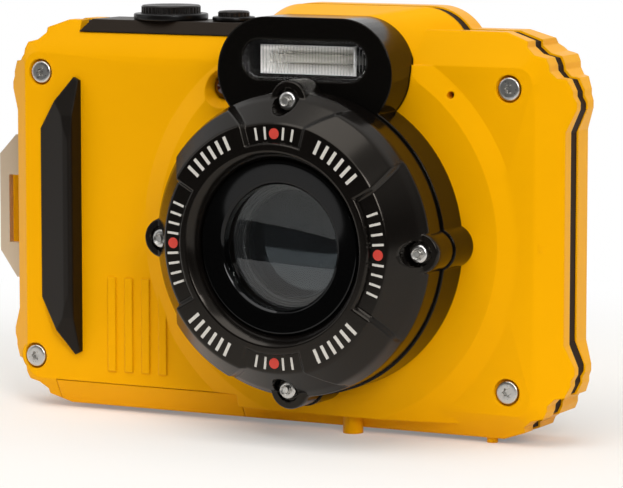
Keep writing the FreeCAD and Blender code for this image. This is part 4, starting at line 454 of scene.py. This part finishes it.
def cover_height(radius, angle):
    """How far the cover stands out in mm: the higher of sunk cone, pads, lip and lugs, less the pockets.
    A pad spans 30 to 74.5 degrees of its quarter at radius 22.3 and 37 to 61 degrees at 28.5."""
    folded = np.degrees(np.abs((angle + math.pi) % (2 * math.pi) - math.pi))
    folded = np.where(folded > 90, 180 - folded, folded)
    low = rounded_line(radius, field_line, 0.25)
    high = rounded_line(radius, pad_line, 0.25)
    first = np.interp(radius, (22.3, 28.5), (30.0, 37.0))
    last = np.interp(radius, (22.3, 28.5), (74.5, 61.0))
    inside = np.minimum(np.radians(folded - first) * radius, np.radians(last - folded) * radius)
    front = low + (high - low) * step(inside + 0.3, 0.9)
    front = np.maximum(front, rounded_line(radius, lip_line, 0.12))
    east, north = radius * np.cos(angle), radius * np.sin(angle)
    away = np.min([np.hypot(east - screw_circle * np.cos(a), north - screw_circle * np.sin(a))
                   for a in compass], 0)
    front = np.maximum(front, rounded_line(away, lug_line, 0.1))
    return np.minimum(front, rounded_line(away, pocket_line, 0.05))


# The rim is the greater of its circle and the lugs' circles, blended over 0.12 mm where they meet
angle = np.linspace(0, 2 * math.pi, 900, endpoint=False)
bearing = np.min(np.abs((angle[:, None] - compass + math.pi) % (2 * math.pi) - math.pi), 1)
beside = screw_circle * np.sin(bearing)
reach = screw_circle * np.cos(bearing) + np.sqrt(np.clip(lug ** 2 - beside ** 2, 0, None))
reach = np.where(beside < lug, reach, 0)
blend = 0.12
rim = blend * np.logaddexp(rim_edge / blend, reach / blend)
along = np.linspace(0, 1, 78)[:, None]
face_radius = mouth + (rim - mouth) * along
face_out = cover_height(face_radius, angle)
# The last ring drops to the skirt: lower at the rim itself than at the lugs
face_out[-1] = np.minimum(face_out[-1], np.where(rim > rim_edge + 0.2, 12.3, 11.4))
skirt = [(rim, s) for s in (11.0, 9.0, 7.0, 6.5)]
inner = [(26.3, 6.42), (26.2, 6.24), (25.0, 6.24), (25.0, 10.2), (11.3, 10.2), (11.3, 11.5),
         (13.55, 11.5), (13.6, 13.9), (15.62, 13.9), (15.65, 16.4), (16.2, 17.2)]
ring_radius = np.concatenate([face_radius, [r + 0 * angle for r, s in skirt + inner]])
ring_out = np.concatenate([face_out, [s + 0 * angle for r, s in skirt + inner]])
east, up = ring_radius * np.cos(angle), ring_radius * np.sin(angle)
cover = skin("lens_dome", np.stack([lens_x + east, -ring_out, lens_z + up], 2) * mm, smooth=55.0)
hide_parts("lens_cover")
# Satin black polycarbonate, a little rougher than its base: soft long highlights on the slopes
dome_polycarbonate = grained("moulded_black_dome_polycarbonate", "#090706", 0.19, 0.4, 0.003,
                             Specular_IOR_Level=0.3, Specular_Tint=(1.0, 0.9, 0.78, 1.0))
wear(cover, dome_polycarbonate, "casing")

# Printed marks: plain ticks in off-white and four red dots, pad-printed on the front of the cover in
# a thin coat of ink. The bold ticks stand on the pads, the fine ones in the sunk fields.


def marks(name, places, long, wide, top):
    """Thin bars round the lens: radius and bearing of each, eight corners a bar, 0.04 mm proud."""
    radius, angle = np.array(places, float).T
    angle = np.radians(angle)
    outward = np.stack([np.cos(angle), 0 * angle, np.sin(angle)], 1)[:, None]
    sideways = np.stack([-np.sin(angle), 0 * angle, np.cos(angle)], 1)[:, None]
    middle = outward * radius[:, None, None] + np.array([lens_x, 0, lens_z])
    signs = np.array([(a, b, c) for c in (0, 1) for a, b in ((-1, -1), (1, -1), (1, 1), (-1, 1))], float)
    corners = middle + outward * signs[:, 0, None] * long / 2 + sideways * signs[:, 1, None] * wide / 2
    corners[:, :, 1] = -top - 0.04 + 0.14 * signs[:, 2]
    sides = np.array([(0, 1, 2, 3), (7, 6, 5, 4), (0, 4, 5, 1), (1, 5, 6, 2), (2, 6, 7, 3), (3, 7, 4, 0)])
    faces = (sides[None] + 8 * np.arange(len(radius))[:, None, None]).reshape(-1, 4)
    mesh = bpy.data.meshes.new(name)
    mesh.from_pydata(corners.reshape(-1, 3) * mm, [], faces.tolist())
    return placed(name, mesh)


# Pad-printing ink: flat, slightly warm white, and a signal red
white_ink = grained("pad_printed_white_ink", "#CAC6BE", 0.6, 0.3, 0.002)
bold = [(20.25, side * 52.0 + base + 4.8 * k)
        for base, side in ((0, 1), (180, -1), (180, 1), (360, -1)) for k in np.arange(-2.5, 3)]
thin_up = [(20.3, base + turn) for base in (90, 270) for turn in (-10, -5, 5, 10)]
thin_side = [(20.3, base + turn) for base in (0, 180) for turn in (-20, -15, -10, -5, 5, 10, 15, 20)]
wear(marks("bold_marks", bold, 2.6, 0.6, 18.95), white_ink, "casing")
wear(marks("fine_marks", thin_up + thin_side, 2.2, 0.42, 18.0), white_ink, "casing")
red_ink = grained("pad_printed_red_ink", "#C8392B", 0.5, 0.3, 0.002)
for k, turn in enumerate(compass):
    dot = lathe("red_mark_%d" % k, ((0, -18.06), (0.95, -18.06), (0.95, -17.9), (0, -17.9)),
                (lens_x + 20.2 * math.cos(turn), lens_z + 20.2 * math.sin(turn)), "Y", 40, 0.02)
    wear(dot, red_ink, "casing")

# Screws: stainless pan heads with a six-lobe recess. Four run from the front shell into the rear shell
# and hold the casing; four with smaller heads hold the lens cover by its lugs.


def screw_head(centre, head, front, thick, shank, length, around=144):
    """A pan head as rings from its middle out: the recess floor, its six-lobed wall, the domed face,
    the rim, then the shank to its end. The lobes follow a cosine of six periods. Thickness and length
    are depths behind the front of the head."""
    angle = np.linspace(0, 2 * math.pi, around, endpoint=False)
    lobe = 0.72 + 0.13 * np.cos(6 * angle)
    recess = [(0 * angle, 0.7), (lobe * 0.9, 0.68), (lobe * 0.97, 0.6), (lobe, 0.1), (lobe + 0.05, 0.02)]
    face = [(head * 0.62, 0.0), (head * 0.8, 0.01), (head - 0.25, 0.06), (head - 0.1, 0.14),
            (head - 0.02, 0.28), (head, 0.42), (head, thick - 0.05), (head - 0.05, thick)]
    thread = [(shank, thick), (shank, length - 0.4), (shank - 0.3, length), (0, length)]
    radius, depth = (np.array([ring[k] + 0 * angle for ring in recess + face + thread]) for k in (0, 1))
    across, up = radius * np.cos(angle), radius * np.sin(angle)
    return np.stack([centre[0] + across, front + depth, centre[1] + up], 2)


def screws(name, centres, *sizes):
    """All screws of a kind in one mesh; the sizes are those that screw_head takes after the centre."""
    joined = bmesh.new()
    for k, centre in enumerate(centres):
        piece = skin("%s_%d" % (name, k), screw_head(centre, *sizes) * mm, closed=False, smooth=35.0)
        joined.from_mesh(piece.data)
        bpy.data.objects.remove(piece)
    mesh = bpy.data.meshes.new(name)
    joined.to_mesh(mesh)
    joined.free()
    mesh.shade_smooth()
    mesh.set_sharp_from_angle(angle=math.radians(35))
    return placed(name, mesh)


# Passivated stainless steel, cold-headed: fine uneven scratches scatter its highlight
head_steel = worked("passivated_stainless_steel", "#C8C6C2", 0.28, 0.4)
casing_at = [(-47.0, 63.3), (48.4, 63.3), (-48.65, 9.75), (48.4, 9.75)]
casing_screws = screws("casing_screws", casing_at, 2.1, 2.5, 1.3, 1.0, 15.7)
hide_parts("corner_screws")
wear(casing_screws, head_steel, "casing")
cover_at = [(lens_x + screw_circle * math.cos(a), lens_z + screw_circle * math.sin(a)) for a in compass]
dome_screws = screws("dome_screws", cover_at, 1.65, -13.23, 1.1, 0.8, -0.63)
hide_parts("cover_screws")
wear(dome_screws, head_steel, "casing")

# Front window: a disc of flat hardened glass that a glossy black ring, pressed into the mouth of the
# cover, holds down on its silicone seal.
# Polished acrylic: deep black with sharp reflections
gloss_black = finish("polished_black_acrylic", "#020202", 0.06, Specular_IOR_Level=0.25)[0]
trim_line = ((11.1, -13.92), (15.58, -13.92), (15.58, -16.1), (15.2, -16.48), (14.9, -16.48),
             (11.6, -16.2), (11.1, -15.7))
trim = lathe("window_trim", trim_line, (lens_x, lens_z), "Y", 256, 0.2)
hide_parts("window_ring")
wear(trim, gloss_black, "casing")
# Coated float glass: clear, with reflections so faint that the lens shows behind it
window_glass, tree, shader = finish("coated_float_glass", "#F3F6F5", 0.0, IOR=1.5, Transmission_Weight=1.0,
                                    Specular_IOR_Level=0.16)
lit_through(tree, shader)
pane_line = ((0, -12.42), (13.48, -12.42), (13.48, -13.88), (0, -13.88))
pane = lathe("window_pane", pane_line, (lens_x, lens_z), "Y", 192, 0.1)
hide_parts("lens_window")
wear(pane, window_glass, "casing")

# Front lens: the first element of the zoom, ground and coated, domed towards the window, in a
# black cup whose wall is turned in steps so that stray light dies on it.
dome_radius = np.linspace(0, 9.0, 16)
dome_outline = [(r, -10.08 + 0.0145 * r * r) for r in dome_radius]
dome_outline += [(9.28, -8.9), (9.28, -8.82), (0, -8.82)]
first_lens = lathe("first_lens", dome_outline, (lens_x, lens_z), "Y", 192, 0.02)
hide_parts("front_element")
# Multi-coated glass over a black barrel: reads as black with faint cool reflections
coated_lens, tree, shader = finish("multi_coated_lens_glass", "#07090B", 0.03, IOR=1.62,
                                   Specular_Tint=(0.8, 0.9, 1.0, 1.0))
place = add(tree, "ShaderNodeTexCoord").outputs["Object"]
breath = add(tree, "ShaderNodeTexNoise", {"Vector": place, "Scale": 180.0, "Detail": 4.0})
haze = add(tree, "ShaderNodeMapRange", {"Value": breath.outputs["Fac"], "To Min": 0.02, "To Max": 0.07})
tree.links.new(haze.outputs[0], shader.inputs["Roughness"])
wear(first_lens, coated_lens, "casing")
stairs = [(13.3 - 0.42 * k, -12.3 + 0.25 * (k + s)) for k in range(9) for s in (0, 1)]
cup_outline = stairs + [(9.6, -9.95), (13.4, -9.95), (13.4, -12.3)]
cup = lathe("baffle_cup", cup_outline, (lens_x, lens_z), "Y", 192, 0.03)
# Matt black anodised aluminium: each edge of the steps keeps a thin grey glint
baffle_black = grained("matt_black_anodised_baffle", "#0E0E0F", 0.4, 0.3, 0.003, edge=0.06)
wear(cup, baffle_black, "casing")

# Hand grip: soft black rubber moulded over a ridge at the left of the face, for the right hand's
# fingers; it is bonded to the front shell.
# Soft rubber: near black, with broad dull highlights on its rounded edges
grip_rubber = grained("soft_touch_black_rubber", "#0C0907", 0.42, 0.5, 0.012, edge=0.6,
                      Specular_IOR_Level=0.2, Specular_Tint=(1.0, 0.88, 0.76, 1.0))
wear(merged("hand_grip", "finger_grip"), grip_rubber, "casing")

# Strap lug: a loop cut from brass plate and nickel-plated, with a satin finish. Its foot is clamped
# between the shells.
# Nickel plate over brushed brass: warm grey, brushed along the plate's length
satin_nickel = worked("brushed_nickel_plate", "#DCC7AC", 0.35, 0.15, (1.0, 1.0, 0.06), 0.7)
wear(merged("strap_lug", "strap_loop"), satin_nickel, "casing")

# Focus lamp: a small moulded lens of dark red acrylic over a light-emitting diode, snapped into the
# front shell from behind.
# Tinted acrylic: almost black red, with a sharp highlight and a few faint flow marks
tinted_acrylic = grained("tinted_red_acrylic", "#3E0705", 0.06, 1.5, 0.002, 0.3, Coat_Weight=0.5)
wear(merged("focus_lamp", "lamp_lens"), tinted_acrylic, "casing")

# Microphone: an electret capsule in a black felt boot, pressed behind its hole in the front shell.
# Through the hole only the face of the felt can be seen.
# Felt: dull, with fibres of about 0.2 mm
felt = grained("pressed_black_felt", "#0D0C0C", 0.9, 0.2, 0.05, 0.3, Specular_IOR_Level=0.1)
boot_line = ((0, 4.32), (1.97, 4.32), (1.97, 6.28), (0, 6.28))
capsule = lathe("microphone_boot", boot_line, (37.5, 61.9), "Y", 64, 0.1)
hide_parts("microphone")
wear(capsule, felt, "casing")

# Zoom lens: a moulded barrel screwed to the front shell, with two carriages on steel rods, each
# driven by a small motor and a lead screw, behind the front window and its silicone seal.
# Black nylon with a fine matt mould grain: swallows stray light
barrel_nylon = grained("moulded_black_barrel_nylon", "#070707", 0.6, 0.25, 0.01, Specular_IOR_Level=0.3)
dress("lens_barrel", barrel_nylon)
# Carriages: filled polycarbonate, dark grey with a slight mottle
carriage_resin = grained("filled_grey_carriage_resin", "#1C1C1D", 0.5, 0.4, 0.01, 0.12)
dress("zoom_carriage", carriage_resin)
dress("focus_carriage", carriage_resin)
# Lead screws and rods: ground steel, bright along their length
ground_steel = worked("ground_shaft_steel", "#C9C9C8", 0.18, 0.12, (1.0, 0.05, 1.0))
for node in ("zoom_screw", "focus_screw", "guide_rods"):
    dress(node, ground_steel)
# Motor cans: drawn steel, zinc plated, slightly blue
dress("lens_motors", worked("zinc_plated_motor_can", "#AEB3B5", 0.3, 0.25, (1.0, 0.2, 1.0)))
# Silicone: dull black rubber with a soft bloom of dust
silicone = grained("moulded_black_silicone", "#111111", 0.7, 0.6, 0.01, 0.25, Specular_IOR_Level=0.2)
dress("window_seal", silicone)

# Circuit boards: glass laminate with a green lacquer over copper tracks, screwed to the shells.
# Solder lacquer: glossy green, paler over the copper, which runs in tracks about 1.5 mm apart
lacquer, tree, shader = finish("green_solder_lacquer", "#0B4427", 0.3)
place = add(tree, "ShaderNodeTexCoord").outputs["Object"]
track_scale = 2 * math.pi / 20 / (1.5 * mm)
tracks = add(tree, "ShaderNodeTexWave", {"Vector": place, "Scale": track_scale, "Distortion": 3.0,
                                         "Detail": 1.0, "Detail Scale": 0.4},
             wave_type="BANDS", bands_direction="DIAGONAL")
copper = add(tree, "ShaderNodeMapRange", {"Value": tracks.outputs["Fac"], "From Min": 0.55, "From Max": 0.65})
shade = add(tree, "ShaderNodeMix", {0: copper.outputs[0], 6: srgb("#0A3D24"), 7: srgb("#1C6B3C")},
            data_type="RGBA")
lift = add(tree, "ShaderNodeBump", {"Height": copper.outputs[0], "Strength": 0.6, "Distance": 0.03 * mm})
tree.links.new(shade.outputs[2], shader.inputs["Base Color"])
tree.links.new(lift.outputs[0], shader.inputs["Normal"])
for node in ("main_board", "top_board", "sensor_board"):
    dress(node, lacquer)

# Chassis plate: a stamped sheet of zinc-plated steel that is screwed to the rear shell and carries
# the screen.
# Zinc plate: cool grey, its gloss patchy by spangles of about 4 mm
spangled, tree, shader = finish("stamped_zinc_plated_sheet", "#B3B6B8", 0.35, Metallic=1.0)
place = add(tree, "ShaderNodeTexCoord").outputs["Object"]
spangle = add(tree, "ShaderNodeTexVoronoi", {"Vector": place, "Scale": 250.0})
gloss = add(tree, "ShaderNodeMapRange", {"Value": spangle.outputs["Distance"], "To Min": 0.25, "To Max": 0.5})
tree.links.new(gloss.outputs[0], shader.inputs["Roughness"])
dress("chassis_plate", spangled)

# Flash capacitor: an aluminium can in a dark shrunk sleeve, which shows hardly any gloss. The speaker
# beside it has a stamped steel basket, dull grey.
dress("flash_capacitor", grained("shrunk_dark_sleeve", "#15171C", 0.35, 1.2, 0.02, 0.15))
dress("speaker", worked("stamped_speaker_basket", "#8F9192", 0.4, 0.3))

# Button springs: closed coils of drawn steel wire, bright, in the cups of the top panel.
# Each is 3.5 mm high from its foot at 67 mm.
spring_wire = worked("drawn_spring_wire", "#B9B9B7", 0.25, 0.15)
for node, joint, x, travel in (("shutter_spring", "shutter_press", shutter_x, 1.0),
                               ("power_spring", "power_press", power_x, 0.6)):
    coil = merged(node, node + "_coil", 40.0)
    wear(coil, spring_wire, "casing")
    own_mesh(coil)

# Screen: a display with a steel back, clipped to the chassis plate behind a black-edged cover glass
# that is glued into the rear shell.


def rounded(half_x, half_z, corner, steps):
    """Outline of a rectangle with quarter-circle corners, as points (x, z) about its middle."""
    turn = np.linspace(0, math.pi / 2, steps)
    arc = np.stack([np.cos(turn), np.sin(turn)], 1) * corner
    turned = np.stack([-arc[:, 1], arc[:, 0]], 1)
    middle = np.array([half_x - corner, half_z - corner])
    quarters = ((arc, (1, 1)), (turned, (-1, 1)), (-arc, (-1, -1)), (-turned, (1, -1)))
    return np.concatenate([quarter + middle * side for quarter, side in quarters])


def slab(name, centre, half_x, half_z, corner, rings, steps=10):
    """A plate in the XZ plane: at each ring (inset, y) the outline drawn in by the inset; both ends
    are closed by a ring of no size at the middle."""
    end = [np.zeros((4 * steps, 2))]
    loops = end + [rounded(half_x - inset, half_z - inset, corner - inset, steps) for inset, y in rings] + end
    levels = [rings[0][1]] + [y for inset, y in rings] + [rings[-1][1]]
    x, z = np.moveaxis(np.array(loops), 2, 0)
    y = np.array(levels)[:, None] + 0 * x
    return skin(name, np.stack([centre[0] + x, y, centre[1] + z], 2) * mm, closed=False, smooth=30.0)


# Cover glass printed black from behind: a deep black edge round a slightly greyer display of 52 by 42 mm
screen_x, screen_z, half_wide, half_high = 23.4, 37.5, 26.0, 21.0
screen_glass, tree, shader = finish("black_printed_cover_glass", "#060607", 0.05,
                                    Coat_Weight=0.5, Coat_Roughness=0.02)
place = add(tree, "ShaderNodeTexCoord").outputs["Object"]
way = add(tree, "ShaderNodeSeparateXYZ", {0: place})
off_x = add(tree, "ShaderNodeMath", {0: way.outputs["X"], 1: screen_x * mm}, operation="SUBTRACT")
off_z = add(tree, "ShaderNodeMath", {0: way.outputs["Z"], 1: screen_z * mm}, operation="SUBTRACT")
in_x = add(tree, "ShaderNodeMath", {0: off_x.outputs[0], 1: 0.0, 2: half_wide * mm}, operation="COMPARE")
in_z = add(tree, "ShaderNodeMath", {0: off_z.outputs[0], 1: 0.0, 2: half_high * mm}, operation="COMPARE")
inside = add(tree, "ShaderNodeMath", {0: in_x.outputs[0], 1: in_z.outputs[0]}, operation="MULTIPLY")
shade = add(tree, "ShaderNodeMix", {0: inside.outputs[0], 6: srgb("#040405"), 7: srgb("#14161A")},
            data_type="RGBA")
smear = add(tree, "ShaderNodeTexNoise", {"Vector": place, "Scale": 60.0, "Detail": 5.0})
gloss = add(tree, "ShaderNodeMapRange", {"Value": smear.outputs["Fac"], "To Min": 0.03, "To Max": 0.12})
tree.links.new(shade.outputs[2], shader.inputs["Base Color"])
tree.links.new(gloss.outputs[0], shader.inputs["Roughness"])
glass_rings = ((1, 17.32), (0.02, 17.32), (0, 17.34), (0, 18.25), (0.06, 18.37), (0.2, 18.43),
               (0.24, 18.43), (0.9, 18.43))
cover_glass = slab("screen_cover", (screen_x, screen_z), 29.97, 24.97, 1.0, glass_rings)
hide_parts("screen_window")
wear(cover_glass, screen_glass, "casing")
dress("lcd_module", worked("stamped_display_back", "#9FA3A6", 0.35, 0.3, (0.2, 1.0, 1.0)))

# Keys: eight caps of black polycarbonate on a rubber mat, each with a plain printed sign, and the
# rocker for the zoom above them. The rear shell holds the mat down and guides the caps.
# Polycarbonate with a satin mould finish, and matt silicone for the mat
key_plastic = grained("satin_black_key_polycarbonate", "#11100F", 0.38, 0.3, 0.006, edge=0.2,
                      Specular_IOR_Level=0.35)
dress("keypad_membrane", grained("moulded_grey_silicone_mat", "#3A3B3C", 0.75, 0.5, 0.01, 0.15))
key_foot, key_brim, key_top = 16.05, 16.66, 18.93
keys = {"arrow_up": (-30.9, 42.2), "arrow_down": (-30.9, 23.8), "arrow_left": (-21.7, 33.0),
        "arrow_right": (-40.1, 33.0), "ok_button": (-30.9, 33.0), "play_button": (-40.4, 53.0),
        "record_button": (-21.4, 53.0), "menu_button": (-30.9, 13.5)}
for node, middle in keys.items():
    cap = 3.4 if node == "ok_button" else 2.6
    brim = cap + 0.78
    outline = ((0, key_foot), (brim, key_foot), (brim, key_brim), (cap, key_brim), (cap, key_top - 0.18),
               (cap - 0.25, key_top), (0, key_top))
    turned = lathe(node + "_cap", outline, middle, "Y", 96, 0.15)
    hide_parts(node)
    wear(turned, key_plastic, node.replace("_button", "") + "_key")


def stamp(name, shapes, level):
    """Printed signs on the back: each shape, points (x, z), as a sheet with a thin rim round it."""
    corners, faces, start = [], [], 0
    for shape in shapes:
        count = len(shape)
        flat = np.stack([shape[:, 0], 0 * shape[:, 0], shape[:, 1]], 1)
        corners += [flat + (0, level + 0.02, 0), flat + (0, level - 0.05, 0)]
        over = start + np.arange(count)
        under = over + count
        rim_faces = np.stack([over, under, np.roll(under, -1), np.roll(over, -1)], 1)
        faces += [over.tolist(), under[::-1].tolist()] + rim_faces.tolist()
        start += 2 * count
    mesh = bpy.data.meshes.new(name)
    mesh.from_pydata(np.concatenate(corners) * mm, [], faces)
    sheet = bmesh.new()
    sheet.from_mesh(mesh)
    bmesh.ops.recalc_face_normals(sheet, faces=sheet.faces)
    sheet.to_mesh(mesh)
    sheet.free()
    return placed(name, mesh)


triangle = np.array([(1.15, 0.0), (-0.6, 0.95), (-0.6, -0.95)])
bar = np.array([(-1.1, -0.16), (1.1, -0.16), (1.1, 0.16), (-1.1, 0.16)])
ring_turn = np.linspace(0, 2 * math.pi, 24, endpoint=False)
disc = np.stack([np.cos(ring_turn), np.sin(ring_turn)], 1)
signs = {"arrow_left": [triangle], "arrow_up": [triangle[:, ::-1]],
         "arrow_right": [-triangle], "arrow_down": [-triangle[:, ::-1]], "ok_button": [disc * 0.7],
         "play_button": [-triangle], "menu_button": [bar + (0, 0.75), bar, bar - (0, 0.75)]}
for node, shapes in signs.items():
    sign = stamp(node + "_sign", [shape + keys[node] for shape in shapes], key_top)
    wear(sign, white_ink, node.replace("_button", "") + "_key")
record_sign = stamp("record_button_sign", [disc * 1.05 + keys["record_button"]], key_top)
wear(record_sign, red_ink, "record_key")
# The rocker's face is levelled at the keys' height, so that its plus and minus lie flat on it
rocker = merged("zoom_rocker", "rocker_cap", 20.0)
place = read_points(rocker)
place[:, 1] = np.minimum(place[:, 1], key_top * mm)
rocker.data.vertices.foreach_set("co", place.ravel())
wear(rocker, key_plastic, "rocker")
plus_at, minus_at = (-26.8, 61.2), (-35.0, 61.2)
rocker_signs = stamp("rocker_signs", [bar + plus_at, bar[:, ::-1] + plus_at, bar + minus_at], key_top)
wear(rocker_signs, white_ink, "rocker")

# Door fittings: the flap closes on a grey silicone ring, turns on a steel pin and is held by a
# sliding lock of black nylon.
dress("door_seal", grained("moulded_grey_silicone_ring", "#77797A", 0.6, 0.5, 0.01, 0.1))
dress("hinge_pin", ground_steel)
lock_nylon = grained("moulded_black_lock_nylon", "#131211", 0.45, 0.3, 0.01, edge=0.15)
wear(merged("door_lock", "lock_slider"), lock_nylon, "lock")

# Battery bay: a wrapped cell in a moulded holder, with the card in its steel socket and the
# charging socket beside them, all reached through the door.
dress("battery", grained("shrink_wrapped_cell", "#16212E", 0.35, 1.0, 0.01, 0.12))
dress("battery_holder", grained("moulded_grey_bay_abs", "#2B2B2D", 0.55, 0.4, 0.01))
dress("card_socket", worked("stamped_card_socket_steel", "#A7AAAB", 0.3, 0.3, (1.0, 1.0, 0.1)))
dress("memory_card", grained("moulded_black_card_plastic", "#17181A", 0.45, 0.3, 0.006))
dress("usb_socket", worked("drawn_socket_steel", "#B4B6B7", 0.28, 0.25, (1.0, 1.0, 0.15)))

# Tripod bush: turned brass, pressed into the base; its thread of 1.27 mm pitch shows as rings.
# Turned brass: warm yellow, bright on each crest and dark in each groove
thread_brass, tree, shader = finish("turned_brass", "#B08D4A", 0.28, Metallic=1.0)
place = add(tree, "ShaderNodeTexCoord").outputs["Object"]
pitch_scale = 2 * math.pi / 20 / (1.27 * mm)
thread = add(tree, "ShaderNodeTexWave", {"Vector": place, "Scale": pitch_scale},
             wave_type="BANDS", bands_direction="Z")
groove = add(tree, "ShaderNodeBump", {"Height": thread.outputs["Fac"], "Strength": 0.8, "Distance": 0.4 * mm})
tree.links.new(groove.outputs[0], shader.inputs["Normal"])
dress("tripod_insert", thread_brass)
